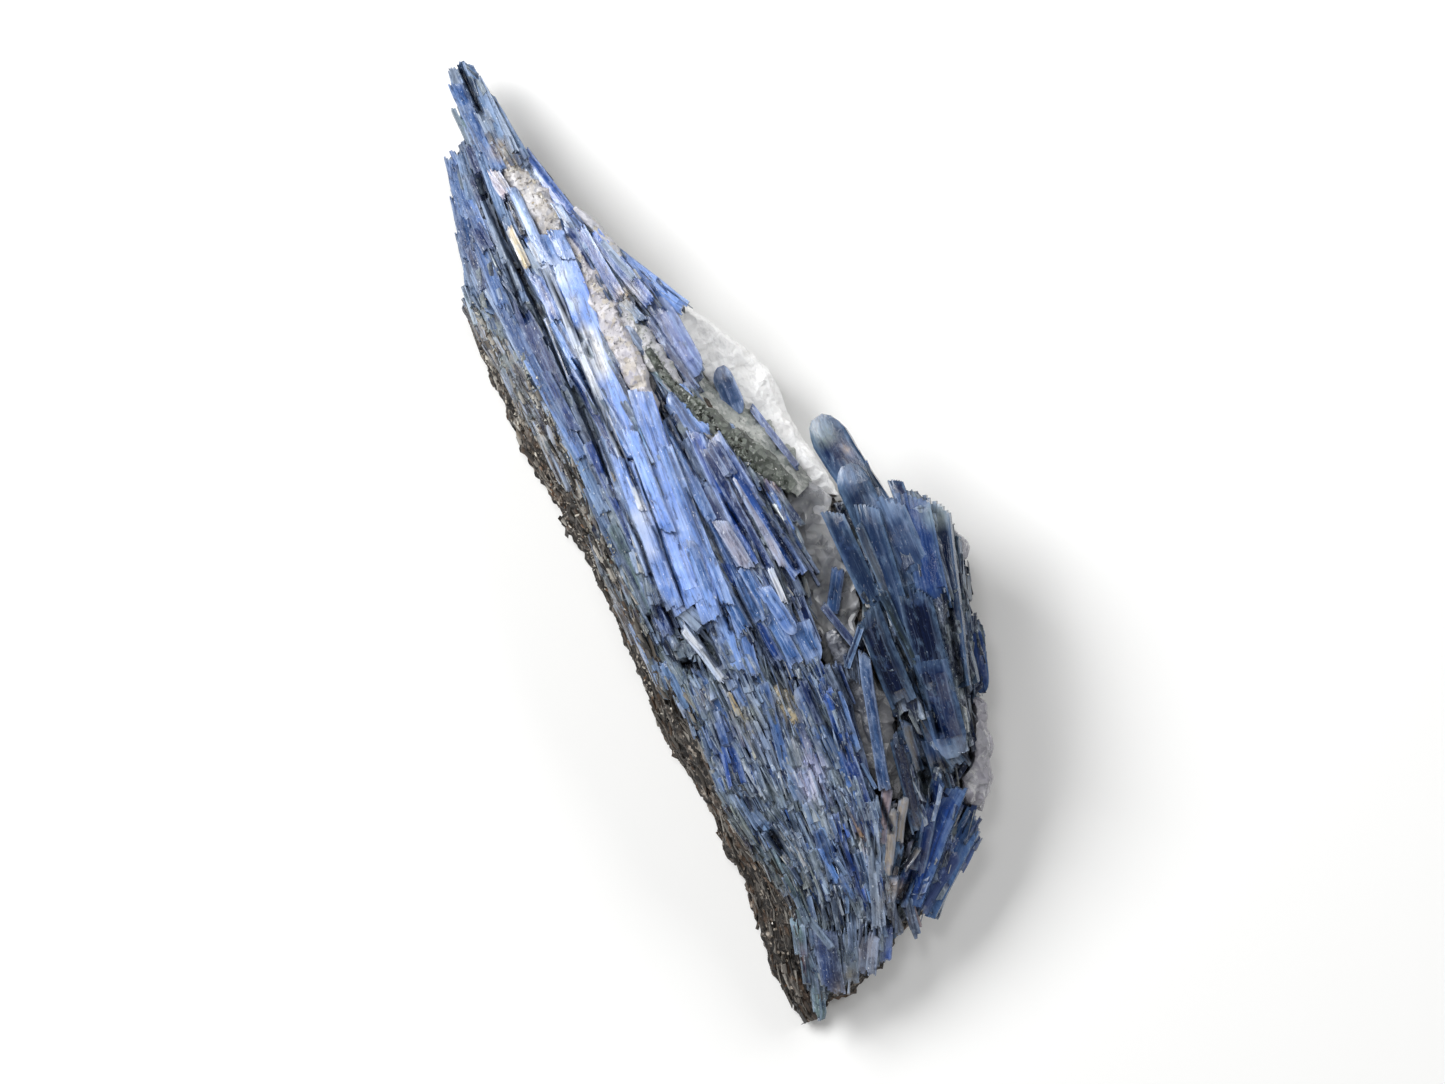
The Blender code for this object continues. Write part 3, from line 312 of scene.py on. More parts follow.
# The cloudy inside of the quartz, white with tiny bubbles along old cracks
def milkyMaterial():
    material, tree, place = newMaterial("milky quartz, clouded by old cracks", {
        "Metallic": 0.0, "Roughness": 0.28, "IOR": 1.544,
    })
    veil = noiseNode(tree, place, (450.0, 900.0, 900.0), 0.8, 6.0, 0.65)
    cloud = noiseNode(tree, place, inMm, 0.16, 4.0)
    waver = vectorNode(tree, "SCALE", in0=noiseNode(tree, place, inMm, 0.5), Scale=0.002)
    crack = addNode(tree, "ShaderNodeTexVoronoi", {"feature": "DISTANCE_TO_EDGE"}, Scale=260.0,
                    Vector=vectorNode(tree, "ADD", in0=place, in1=waver)).outputs["Distance"]
    colour = layered(tree, attribute(tree, "tint"), (cloud, 0.52, 0.68, 0.35, "#C6C2BE"),
                     (veil, 0.44, 0.32, 0.3, "#A4A4AA"), (crack, 0.05, 0.0, 0.16, "#8C8A88"),
                     (veil, 0.56, 0.66, 0.7, "#FFFFFF"))
    return finished(material, colour, ((veil, 0.6, 0.5),))


# Mica schist: dark brown-grey grains about 0.8 mm, rusty where iron has weathered
schistFinish = {
    "grainSize": 0.8, "rust": "#7E5A38",
    "grains": ((0.0, "#14110F"), (0.38, "#2A2521"), (0.62, "#463E37"), (0.82, "#6F655B"), (0.95, "#A69C90")),
}


def schistMaterial():
    material, tree, place = newMaterial("mica schist, broken across its layers", {"Metallic": 0.0})
    # grains are flatter than they are wide
    squashed = vectorNode(tree, "MULTIPLY", in0=place, in1=(1000.0, 1000.0, 2200.0))
    cells = addNode(tree, "ShaderNodeTexVoronoi", Vector=squashed, Scale=1.0 / schistFinish["grainSize"])
    drawn = addNode(tree, "ShaderNodeSeparateColor", Color=cells.outputs["Color"]).outputs[0]
    ramp = addNode(tree, "ShaderNodeValToRGB", Fac=drawn)
    ramp.color_ramp.interpolation = "CONSTANT"
    elements = ramp.color_ramp.elements
    while len(elements) < len(schistFinish["grains"]):
        elements.new(0.5)
    for element, (position, hexCode) in zip(elements, schistFinish["grains"]):
        element.position = position
        element.color = (*linear(hexCode), 1.0)
    small = noiseNode(tree, place, inMm, 1.6, 4.0)
    colour = layered(tree, ramp.outputs["Color"],
                     (noiseNode(tree, place, inMm, 0.12, 4.0), 0.55, 0.72, 0.7, schistFinish["rust"]))
    colour = mixNode(tree, spanNode(tree, small, 0.25, 0.7, 0.75, 0.0), colour, "#151210")
    bumps = ((small, 0.7, 0.35), (cells.outputs["Distance"], 0.5, 0.3))
    return finished(material, colour, bumps, spanNode(tree, drawn, 0.0, 1.0, 0.75, 0.38))


# Loose grains and flakes take their own tint
def grainMaterial(name, roughness, ior):
    material, tree, place = newMaterial(name, {"Metallic": 0.0, "Roughness": roughness, "IOR": ior})
    mottle = noiseNode(tree, place, inMm, 2.2)
    colour = layered(tree, attribute(tree, "tint"), (mottle, 0.35, 0.7, 0.35, "#2A2622"))
    return finished(material, colour, ((mottle, 0.3, 0.1),))


materials = {
    "blade": kyaniteMaterial("kyanite blades, cleaved and glassy", "blade"),
    "worn": kyaniteMaterial("kyanite blades, dulled by weather", "worn"),
    "fan": kyaniteMaterial("dark kyanite blades, partly weathered", "fan"),
    "fibre": kyaniteMaterial("fibrous kyanite, splintered", "fibre"),
    "quartz": quartzMaterial(),
    "milk": milkyMaterial(),
    "schist": schistMaterial(),
    "mica": grainMaterial("biotite and muscovite flakes", 0.26, 1.6),
    "woody": grainMaterial("mica schist, split into fibres", 0.55, 1.55),
    "crumb": grainMaterial("white feldspar and quartz grains", 0.45, 1.53),
}
print("materials made")


# Meshes

def deselect():
    if bpy.context.object and bpy.context.object.mode != "OBJECT":
        bpy.ops.object.mode_set(mode="OBJECT")
    bpy.ops.object.select_all(action="DESELECT")


def choose(body):
    deselect()
    bpy.context.view_layer.objects.active = body
    body.select_set(True)


def openMesh():
    bpy.ops.object.mode_set(mode="EDIT")
    return bpy.context.object


def closeMesh():
    bpy.ops.object.mode_set(mode="OBJECT")


def pickAll():
    bpy.ops.mesh.select_all(action="SELECT")


def added(name, data):
    body = bpy.data.objects.new(name, data)
    bpy.context.scene.collection.objects.link(body)
    return body


def pick(body, kind, test):
    # selects the faces, edges or points of the mesh being edited that pass the test
    bpy.ops.mesh.select_mode(type=kind)
    bpy.ops.mesh.select_all(action="DESELECT")
    bm = bmesh.from_edit_mesh(body.data)
    bm.normal_update()
    for part in {"FACE": bm.faces, "EDGE": bm.edges, "VERT": bm.verts}[kind]:
        if test(part):
            part.select_set(True)
    bm.select_flush_mode()
    bmesh.update_edit_mesh(body.data)


def shift(x, y, z):
    bpy.ops.transform.translate(value=(x, y, z))


def pull(x, y, z):
    bpy.ops.mesh.extrude_region_move(TRANSFORM_OT_translate={"value": (x, y, z)})


def narrow(share, end, y):
    bpy.ops.transform.resize(value=(1.0, share, 1.0), center_override=(end, y, 0.0))


def lengthOf(edge):
    # along X
    return abs(edge.verts[0].co.x - edge.verts[1].co.x)


def isEnd(face, sign):
    return face.normal.x * sign > 0.9


def within(face, low, high):
    return low < face.calc_center_median().y < high


def newBlock():
    # it lies along X from 0 to 1, is 1 wide, and its top is at 0
    deselect()
    bpy.ops.mesh.primitive_cube_add(size=1.0, location=(0.5, 0.0, -0.5))
    bpy.ops.object.transform_apply(location=True, rotation=True, scale=True)
    return openMesh()


def cutColumns(block, columns, segments, unevenness, rng):
    # gives each line between two uneven columns once it is moved: where it was, and by how much it moved
    pick(block, "EDGE", lambda e: lengthOf(e) > 0.5)
    bpy.ops.mesh.subdivide(number_cuts=segments - 1)
    pick(block, "EDGE", lambda e: abs(e.verts[0].co.y - e.verts[1].co.y) > 0.5)
    bpy.ops.mesh.subdivide(number_cuts=columns - 1)
    for k in range(1, columns):
        place = -0.5 + k / columns
        aside = rng.uniform(-1, 1) * unevenness / columns
        pick(block, "VERT", lambda v: abs(v.co.y - place) < 1e-4)
        shift(0.0, aside, 0.0)
        yield place, aside


def formOf(body):
    # the finished master as arrays, and the master itself is removed
    closeMesh()
    points = np.array([v.co for v in body.data.vertices])
    faces = [tuple(p.vertices) for p in body.data.polygons]
    bpy.data.objects.remove(body)
    return {"points": points, "faces": faces}


# What a lath has beyond 0 and 1 is the broken end
lathShape = {"step": 0.13, "reach": 0.55, "lean": 1.0, "jag": 0.20, "unevenness": 0.32, "slant": 0.5}


def modelLath(columns, segments, seed):
    rng = random.Random(seed)
    lath = newBlock()
    cuts = cutColumns(lath, columns, segments, lathShape["unevenness"], rng)
    edges = [-0.5] + [place + aside for place, aside in cuts] + [0.5]
    for low, high in zip(edges, edges[1:]):
        # each column's top stands at its own height
        pick(lath, "FACE", lambda f: f.normal.z > 0.9 and within(f, low, high))
        pull(0.0, 0.0, rng.uniform(0.01, lathShape["step"]))
    for sign, end in ((-1, 0.0), (1, 1.0)):
        lean = rng.uniform(-1, 1) * lathShape["lean"]
        for low, high in zip(edges, edges[1:]):
            # and breaks off near a slanting line
            pick(lath, "FACE", lambda f: isEnd(f, sign) and within(f, low, high))
            jag = rng.uniform(-1, 1) * lathShape["jag"]
            reach = max(0.08, lathShape["reach"] + lean * (low + high) / 2 + jag)
            pull(sign * reach, 0.0, 0.0)
            # the finger narrows, and its top runs down to a chisel
            narrow(rng.uniform(0.45, 1.0), end, rng.uniform(low, high))
            pick(lath, "VERT", lambda v: (v.co.x - end) * sign > 0.9 * reach
                 and v.co.z > -0.1 and low - 1e-4 < v.co.y < high + 1e-4)
            shift(-sign * reach * rng.uniform(0.0, lathShape["slant"]), 0.0, -rng.uniform(0.05, 0.30))
    return formOf(lath)


def modelSplinter(seed):
    rng = random.Random(seed)
    splinter = newBlock()
    # both ends run out to a chisel, and one long edge of the top is bevelled off
    for sign, end in ((-1, 0.0), (1, 1.0)):
        pick(splinter, "FACE", lambda f: isEnd(f, sign))
        narrow(rng.uniform(0.15, 0.7), end, rng.uniform(-0.4, 0.4))
        pick(splinter, "VERT", lambda v: abs(v.co.x - end) < 0.01 and v.co.z > -0.5)
        shift(-sign * rng.uniform(0.0, 0.25), 0.0, -rng.uniform(0.0, 0.2))
    side = rng.choice((-1, 1))
    pick(splinter, "EDGE", lambda e: all(v.co.z > -0.3 for v in e.verts) and lengthOf(e) > 0.4
         and sum(v.co.y for v in e.verts) * side > 0)
    bpy.ops.mesh.bevel(offset=rng.uniform(0.15, 0.35), segments=1, affect="EDGES")
    return formOf(splinter)


# A broad blade: low ridges and a step along it, bevelled long edges, and ends that are rounded or ragged
broadShape = {
    "unevenness": 0.30, "ridge": 0.010, "roof": (0.02, 0.09), "step": (0.015, 0.035), "bevel": (0.05, 0.10),
    "round": ((0.26, 0.88, 0.03), (0.24, 0.74, 0.06), (0.16, 0.52, 0.10)), "ragged": (0.50, 0.95, 0.15),
    "steps": 0.4,
}


def roundEnd(blade, sign, end, rng):
    lean = rng.uniform(-0.25, 0.25)
    reach = 0.0
    for stretch, share, fall in broadShape["round"]:
        pick(blade, "FACE", lambda f: isEnd(f, sign)
             and (f.calc_center_median().x - end) * sign > reach - 1e-4)
        pull(sign * stretch, 0.0, 0.0)
        reach += stretch
        narrow(share, end, lean)
        pick(blade, "VERT", lambda v: (v.co.x - end) * sign > reach - 0.01 and v.co.z > -0.5)
        shift(0.0, 0.0, -fall)


def raggedEnd(blade, sign, end, lines, rng):
    middle, lean, jag = broadShape["ragged"]
    lean *= rng.uniform(-1, 1)
    step = 0.0
    for low, high in zip(lines, lines[1:]):
        pick(blade, "FACE", lambda f: isEnd(f, sign) and within(f, low, high))
        if rng.random() < broadShape["steps"]:
            step = rng.uniform(-1, 1) * jag
        reach = max(0.05, middle + lean * (low + high) / 2 + step)
        pull(sign * reach, 0.0, 0.0)
        narrow(rng.uniform(0.95, 1.0), end, rng.uniform(low, high))
        pick(blade, "VERT", lambda v: (v.co.x - end) * sign > 0.9 * reach and v.co.z > -0.4
             and low - 1e-4 < v.co.y < high + 1e-4)
        shift(0.0, 0.0, -rng.uniform(0.1, 0.5) * reach)


def modelBroad(columns, segments, seed, ends):
    rng = random.Random(seed)
    blade = newBlock()
    crest = rng.uniform(-0.3, 0.3)
    roof = rng.uniform(*broadShape["roof"])
    lines = [-0.5]
    for place, aside in cutColumns(blade, columns, segments, broadShape["unevenness"], rng):
        lines.append(place + aside)
        pick(blade, "VERT", lambda v: abs(v.co.y - place - aside) < 1e-4 and v.co.z > -0.5)
        rise = roof * (1 - abs(place - crest) / (0.5 + abs(crest)))
        shift(0.0, 0.0, rise + rng.uniform(-1, 1) * broadShape["ridge"])
    lines.append(0.5)
    for sign, end, style in zip((-1, 1), (0.0, 1.0), ends):
        if style == "round":
            roundEnd(blade, sign, end, rng)
        else:
            raggedEnd(blade, sign, end, lines, rng)
    first = rng.choice(range(1, columns - 1))
    last = rng.choice(range(first + 1, columns + 1))
    pick(blade, "FACE", lambda f: f.normal.z > 0.8 and within(f, lines[first], lines[last])
         and 0 < f.calc_center_median().x < 1)
    pull(0.0, 0.0, rng.uniform(*broadShape["step"]))
    pick(blade, "EDGE", lambda e: lengthOf(e) > 0.01
         and all(abs(v.co.y) > 0.499 and v.co.z > -0.5 for v in e.verts))
    bpy.ops.mesh.bevel(offset=rng.uniform(*broadShape["bevel"]), segments=1, affect="EDGES")
    return formOf(blade)


def modelFlake(seed):
    rng = random.Random(seed)
    deselect()
    bpy.ops.mesh.primitive_cylinder_add(vertices=6, radius=0.5, depth=0.12, end_fill_type="NGON")
    flake = openMesh()
    for corner in range(6):
        angle = math.radians(60 * corner + 90)
        spot = Vector((math.sin(angle), math.cos(angle), 0)) * 0.5
        pick(flake, "VERT", lambda v: (v.co.xy - spot.xy).length < 0.1)
        shift(rng.uniform(-0.12, 0.12), rng.uniform(-0.12, 0.12), rng.uniform(-0.04, 0.04))
    return formOf(flake)


def modelCrumb(seed):
    rng = random.Random(seed)
    deselect()
    bpy.ops.mesh.primitive_ico_sphere_add(subdivisions=1, radius=0.5)
    crumb = openMesh()
    for _ in range(7):
        # plane breaks take its roundness away
        normal = Vector((rng.gauss(0, 1), rng.gauss(0, 1), rng.gauss(0, 1))).normalized()
        pickAll()
        bpy.ops.mesh.bisect(plane_co=normal * rng.uniform(0.12, 0.26), plane_no=normal, use_fill=True,
                            clear_outer=True)
    pickAll()
    bpy.ops.transform.resize(value=(1.9, 1.2, 0.8))
    return formOf(crumb)


laths = [modelLath(5, 5, 100 + k) for k in range(6)]
longLaths = [modelLath(4, 12, 150 + k) for k in range(6)]
thinLaths = [modelLath(3, 7, 200 + k) for k in range(5)]
endStyles = (("ragged", "ragged"), ("round", "ragged"), ("ragged", "round"), ("round", "round"))
broads = {ends: [modelBroad(8, 11, 250 + 10 * k + n, ends) for n in range(3)]
          for k, ends in enumerate(endStyles)}
longBroads = [modelBroad(8, 50, 270 + k, ("ragged", "ragged")) for k in range(3)]
fibres = [modelLath(2, 2, 280 + k) for k in range(6)]
splinters = [modelSplinter(300 + k) for k in range(6)]
flakes = [modelFlake(400 + k) for k in range(4)]
crumbs = [modelCrumb(500 + k) for k in range(4)]
print("masters modelled:", len(laths[0]["faces"]), "faces in a lath")


def dressed(body, material, slotName, nodes=()):
    body.data.materials.clear()
    body.data.materials.append(material)
    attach(body, "root")
    if nodes:
        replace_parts(body, *nodes)
    body.data.calc_loop_triangles()
    print(f"{body.name}: {len(body.data.loop_triangles)} triangles")
    return body


def smoothed(body, angle):
    choose(body)
    bpy.ops.object.shade_smooth_by_angle(angle=math.radians(angle))
    return body


def keptInBox(points):
    low = np.array(cadBox[0]) / toMetres + 0.02
    high = np.array(cadBox[1]) / toMetres - 0.02
    low[2] = 0.0
    return np.clip(points, low, high)


def setTint(mesh, colours):
    layer = mesh.attributes.new("tint", "FLOAT_COLOR", "POINT")
    opaque = np.hstack([colours, np.ones((len(colours), 1))])
    layer.data.foreach_set("color", opaque.astype(np.float32).ravel())


def setRim(mesh, values):
    layer = mesh.attributes.new("rim", "FLOAT", "POINT")
    layer.data.foreach_set("value", np.asarray(values, np.float32))


def setGrain(mesh, coordinates):
    layer = mesh.uv_layers.new(name="grain")
    corner = np.zeros(len(mesh.loops), np.int32)
    mesh.loops.foreach_get("vertex_index", corner)
    layer.data.foreach_set("uv", coordinates[corner].astype(np.float32).ravel())


def newPiece(name, points, forms, tints):
    # one object from the points of many copies and the forms that they are copies of
    faces, count = [], 0
    for form in forms:
        faces += [tuple(v + count for v in face) for face in form["faces"]]
        count += len(form["points"])
    mesh = bpy.data.meshes.new(name)
    mesh.from_pydata(points * toMetres, [], faces)
    setTint(mesh, tints)
    return added(name, mesh)


def warped(points, size, amount):
    moves = [noise.noise_vector(Vector(p) / size) for p in points]
    return points + np.array(moves) * amount


# Local colours: pixel, radius in pixels, colour and strength. Most are stains and the crystals' own colour.
# The white and pale blue spots on the centre blade and the pale grey spot at the fan's top are painted
# highlights. The near-black spots in holes and cracks and the dark greys at the lower terraces are painted
# shade
stainsHighlightsAndShade = (
    (811, 772, 13, "#D5D3F2", 0.85), (740, 745, 20, "#3F63A8", 0.5), (742, 722, 13, "#B9A877", 0.6),
    (786, 700, 12, "#A59878", 0.8), (780, 840, 10, "#4E4A28", 0.8), (863, 835, 6, "#B07A38", 0.9),
    (805, 953, 5, "#6E2A1A", 0.9), (768, 483, 6, "#9A6A2C", 0.8), (675, 710, 9, "#100E0D", 0.9),
    (798, 736, 10, "#26241F", 0.85), (775, 936, 8, "#100E0D", 0.9), (794, 946, 8, "#100E0D", 0.9),
    (805, 982, 8, "#100E0D", 0.9), (752, 800, 10, "#2A2C2C", 0.7), (832, 908, 16, "#3A4046", 0.6),
    (860, 912, 10, "#23282E", 0.7), (895, 890, 9, "#B8A28A", 0.7), (842, 996, 8, "#8A6C48", 0.8),
    (628, 296, 11, "#B49F7C", 0.7), (500, 150, 9, "#B7A183", 0.8), (509, 178, 7, "#A88A68", 0.7),
    (906, 862, 9, "#101A30", 0.8), (960, 668, 8, "#0C0C10", 0.9), (820, 434, 12, "#7C8C88", 0.6),
    (846, 448, 4, "#B7A79A", 0.8), (930, 745, 12, "#3F5E92", 0.5), (950, 752, 7, "#8095AC", 0.7),
    (831, 966, 20, "#1F4078", 0.6), (812, 792, 10, "#E4E2F8", 0.9), (724, 728, 14, "#2F5596", 0.6),
    (750, 718, 10, "#9A9C8C", 0.5), (703, 697, 7, "#CFC6B4", 0.7), (860, 950, 26, "#5F6468", 0.6),
    (850, 985, 14, "#7C7466", 0.7), (872, 974, 12, "#5A5E68", 0.6), (905, 925, 14, "#5E5A58", 0.7),
    (890, 905, 12, "#6A625C", 0.6), (586, 340, 11, "#FFFFFF", 1), (593, 354, 12, "#FFFFFF", 1),
    (600, 370, 9, "#FFFFFF", 0.9), (560, 275, 12, "#CFDCF6", 0.8), (640, 520, 10, "#E4EAF8", 0.8),
    (648, 548, 9, "#D4DEF6", 0.7), (574, 305, 7, "#DCE6FA", 0.7), (935, 515, 12, "#B9C6C6", 0.7),
    (884, 505, 13, "#8FA6C8", 0.6), (845, 478, 10, "#6F8CB4", 0.6),
)
# Open cracks: a line of pixels, half its width in pixels and its depth in mm
cracks = (
    (((479, 178), (487, 200), (497, 222), (510, 252), (526, 282), (540, 310), (553, 340), (568, 376),
      (584, 408), (600, 446), (612, 476)), 5, 2.6), (((507, 266), (518, 296), (527, 320)), 2.6, 1.2),
    (((546, 272), (560, 300), (575, 330), (590, 354)), 2.4, 1.2),
    (((578, 362), (590, 390), (604, 416), (622, 452), (642, 496)), 3, 1.6),
    (((655, 528), (668, 560), (684, 602)), 2.2, 1.2), (((460, 68), (468, 84), (480, 110)), 3.2, 1.8),
    (((568, 238), (584, 262), (600, 292), (612, 312)), 2.6, 1.3),
    (((640, 358), (648, 376), (662, 402), (672, 430), (690, 458), (702, 478)), 4.5, 2),
    (((644, 324), (660, 350), (682, 380)), 2.2, 1), (((726, 503), (738, 523)), 2.6, 1.4),
    (((742, 528), (764, 565)), 2.6, 1.4), (((762, 496), (776, 530), (797, 568)), 5, 2),
    (((735, 590), (750, 620), (765, 650), (790, 690)), 4, 1.4), (((666, 604), (678, 630)), 5, 2),
    (((704, 632), (716, 662)), 6, 2.2), (((764, 660), (777, 692)), 3.5, 1.2),
    (((718, 600), (732, 630)), 2.2, 1.2), (((812, 692), (830, 730), (850, 758)), 3.6, 1.5),
    (((836, 670), (852, 706), (868, 748)), 4, 1.5), (((898, 640), (916, 680), (944, 740)), 4, 2.2),
    (((946, 600), (954, 650), (962, 690)), 4, 2), (((922, 760), (932, 800)), 5, 1.8),
    (((880, 800), (892, 830)), 3.5, 1.4), (((745, 800), (766, 806)), 4, 0.8),
    (((826, 916), (842, 922), (862, 914)), 3.6, 0.9), (((770, 934), (798, 948)), 6, 1.8),
    (((684, 662), (694, 668), (706, 674)), 4.5, 1.8), (((772, 834), (780, 846), (785, 858)), 6.5, 2),
    (((798, 900), (812, 906), (828, 914), (846, 910), (860, 902), (872, 914)), 3.4, 1.1),
    (((800, 866), (806, 884)), 2.5, 0.9), (((867, 828), (873, 842), (878, 858)), 4, 1.6),
    (((790, 806), (796, 832)), 3, 1.3), (((745, 868), (760, 884)), 3, 1.2),
    (((656, 706), (672, 712), (688, 718)), 7, 1.5), (((896, 872), (918, 842)), 6, 2),
    (((900, 902), (914, 876)), 5, 1.8), (((762, 772), (776, 800)), 3.5, 1.2),
    (((692, 500), (712, 536), (722, 560)), 2.4, 1.2), (((620, 500), (640, 540), (652, 575)), 2.6, 1.2),
)
# how much an open crack's colour darkens: painted shade
crackShade = 0.88


def weathered(points, tints):
    # crystals are cracked open and stained in places; the spot list also paints highlights and shade, and
    # each crack is darkened as painted shade
    spots = pixelsOf(points)
    for x, y, radius, hexCode, strength in stainsHighlightsAndShade:
        near = np.clip(1.6 - np.hypot(spots[:, 0] - x, spots[:, 1] - y) / radius, 0, 1)[:, None] * strength
        tints = tints * (1 - near) + np.array(linear(hexCode)) * near
    upper = np.clip((points[:, 2] - reliefOf(points) + 6.0) / 2.0, 0, 1)
    points = points.copy()
    for line, half, depth in cracks:
        inside = np.clip(1.7 * (1 - pathDistance(spots, line) / half), 0, 1) * upper
        points[:, 2] -= depth * inside
        # painted shade: the colour darkens inside each crack
        tints = tints * (1 - crackShade * inside[:, None])
    return points, tints


# Painted shade: a blade's colour darkens below its top, for the shade in the gaps between blades. A blade is
# pale at its outer edges and at its broken ends
pieceShade = {"dim": 0.9, "dimDepth": 1.1, "rimFrom": 0.72, "rim": 0.7, "endRim": 0.55, "waves": (9.0, 2.6)}


def joinedCopies(name, copies, look, slotName="blue_kyanite", nodes=(), warp=0.16):
    points, tints, rims, grains = [], [], [], []
    for c in copies:
        x, y, z = c["form"]["points"].T
        # only what lies between the broken ends is stretched to the length
        beyond = np.where(x > 1, c["length"] + (x - 1) * c["width"], x * c["length"])
        along = np.where(x < 0, x * c["width"], beyond)
        across = y * c["width"]
        up = np.where(z > 0, z * c["width"], z * c["depth"])
        place = np.outer(along, c["axis"]) + np.outer(across, c["side"]) + np.outer(up, c["up"])
        points.append(place + np.array(c["start"]))
        # painted shade: darker the further a point lies below the copy's top
        tints.append(np.outer(1 - pieceShade["dim"] * np.clip(-up / pieceShade["dimDepth"], 0, 1), c["tint"]))
        rim = pieceShade["rimFrom"]
        outer = (np.abs(across + c["offset"]) / c["half"] - rim) / (1 - rim)
        ends = np.where((x < -0.02) | (x > 1.02), pieceShade["endRim"], 0.0)
        rims.append(np.maximum(np.clip(outer, 0, 1) * pieceShade["rim"], ends))
        grains.append(np.stack([along + c["shift"], across + c["offset"] + 0.7 * up + c["shift"] * 0.37], 1))
    broad, fine = pieceShade["waves"]
    points = keptInBox(warped(warped(np.vstack(points), broad, warp), fine, 0.8 * warp))
    points, tints = weathered(points, np.vstack(tints))
    body = newPiece(name, points, [c["form"] for c in copies], tints)
    setRim(body.data, np.concatenate(rims))
    setGrain(body.data, np.vstack(grains))
    smoothed(dressed(body, materials[look], slotName, nodes), 24)


# Tints of blades. Kyanite runs from navy to pale blue, and weathers to grey-green
# black is painted shadow: thin blades of it lie low in the fissures and gaps between blades
bladeTints = {
    "black": "#0B1019", "dark": "#1D2A40", "navy": "#132A5C", "deep": "#22458A", "royal": "#2C539C",
    "mid": "#46699F", "soft": "#6C8ECB", "bright": "#82A6EE", "violet": "#5B6DA6", "slate": "#3F4A6E",
    "pale": "#9DB2D6", "greyPale": "#93A0B2", "greyBlue": "#5C7596", "lilac": "#A09FB0",
    "greyGreen": "#66797A", "greenPale": "#A1B3AB", "white": "#DADDE3", "tan": "#A2978A", "cream": "#C2B08A",
    "leaf": "#A8979A", "dusk": "#34507A",
}

# Rows are blades: first end, second end and width in pixels, each end's height over the dome in mm, tint
blunt = (0.6, 0.6)
tipBlades = (
    (449, 63, 464, 114, 8, 2.4, 2, "greyPale", {"tips": (0.5, 1)}),
    (458, 57, 476, 104, 8, 3.3, 2.6, "greyBlue", {"tips": (0.4, 1)}),
    (453, 80, 488, 154, 12, 3.2, 2.8, "mid", {"tips": (0.6, 1), "split": (1.9, 2.6)}),
    (463, 70, 482, 114, 4, 1, 1, "black"), (466, 61, 501, 138, 9, 3, 2.6, "greyBlue", {"tips": (0.5, 1)}),
    (475, 76, 514, 150, 9, 2.4, 2.2, "greyPale", {"tips": (0.5, 1)}),
    (486, 92, 526, 160, 9, 1.6, 1.4, "greyBlue", {"tips": (0.5, 1)}),
    (480, 108, 500, 150, 12, 2.8, 2.4, "greyPale"), (482, 136, 500, 170, 13, 3, 2.4, "mid"),
    (459, 110, 478, 154, 6, 1.4, 1.2, "greyGreen"), (468, 126, 484, 168, 8, 2.2, 2, "greyPale"),
    (470, 92, 492, 160, 14, 1.6, 1.6, "dark"),
)
leftBlades = (
    (449, 155, 463, 214, 12, 1, 1.2, "mid", {"tips": (0.8, 1)}),
    (458, 150, 474, 206, 10, 1.8, 1.6, "greyBlue"), (467, 143, 486, 192, 8, 2.4, 2.4, "slate"),
    (475, 140, 503, 218, 7, 2.6, 2.4, "greyBlue"), (470, 174, 483, 204, 9, 2.3, 2.3, "navy"),
    (456, 198, 471, 264, 12, 1.4, 1.4, "mid"), (466, 196, 486, 244, 12, 2.1, 2, "soft"),
    (472, 222, 489, 250, 13, 2.3, 2.2, "navy"), (459, 234, 474, 288, 9, 1, 1, "greyBlue"),
    (467, 244, 486, 292, 9, 1.6, 1.4, "slate"), (478, 240, 504, 308, 12, 1.8, 1.6, "mid"),
    (484, 200, 518, 292, 9, 2.5, 2.2, "greyPale"), (500, 244, 526, 304, 8, 2.2, 1.4, "greyBlue"),
    (480, 178, 514, 260, 6, -0.6, -0.6, "black"), (512, 256, 547, 328, 8, -0.8, -0.8, "black"),
    (543, 322, 585, 410, 8, -0.8, -0.6, "black"), (580, 400, 614, 474, 6, -0.4, -0.2, "black"),
    (508, 268, 527, 318, 4, 0.2, 0.2, "black"), (511, 284, 531, 312, 12, 1, 0.9, "dark"),
    (518, 302, 560, 392, 18, 0.9, 0.7, "navy", {"roll": 12, "split": (2, 3.2)}),
    (494, 288, 542, 386, 12, 1.6, 1, "mid"), (486, 284, 518, 340, 11, 1, 0.8, "greyPale"),
    (512, 330, 560, 426, 11, 1, 0.8, "greyPale", {"roll": -8}), (528, 356, 584, 458, 11, 1.3, 1, "mid"),
    (546, 372, 576, 430, 8, 1.6, 1.2, "deep"),
    (556, 345, 604, 450, 14, 0.3, 0.5, "dark", {"split": (0.8, 1.6)}),
    (474, 268, 494, 312, 13, 0.6, 0.4, "greyBlue"),
    (576, 404, 618, 496, 12, 0.5, 0.8, "dark", {"split": (0.8, 1.6)}),
    (562, 420, 606, 514, 12, 0.6, 0.6, "greyBlue"),
    (548, 400, 574, 456, 8, 0.4, 0.4, "greyPale", {"roll": -10}), (590, 442, 638, 546, 11, 0.9, 1, "deep"),
    (606, 450, 632, 522, 5, 1.7, 1.6, "cream"), (588, 486, 624, 566, 10, 0.4, 0.4, "greyBlue"),
    (612, 524, 652, 612, 11, 0.6, 0.8, "greyGreen", {"roll": -10}),
    (570, 452, 594, 508, 8, 0.2, 0.2, "greyGreen", {"roll": -12}),
)
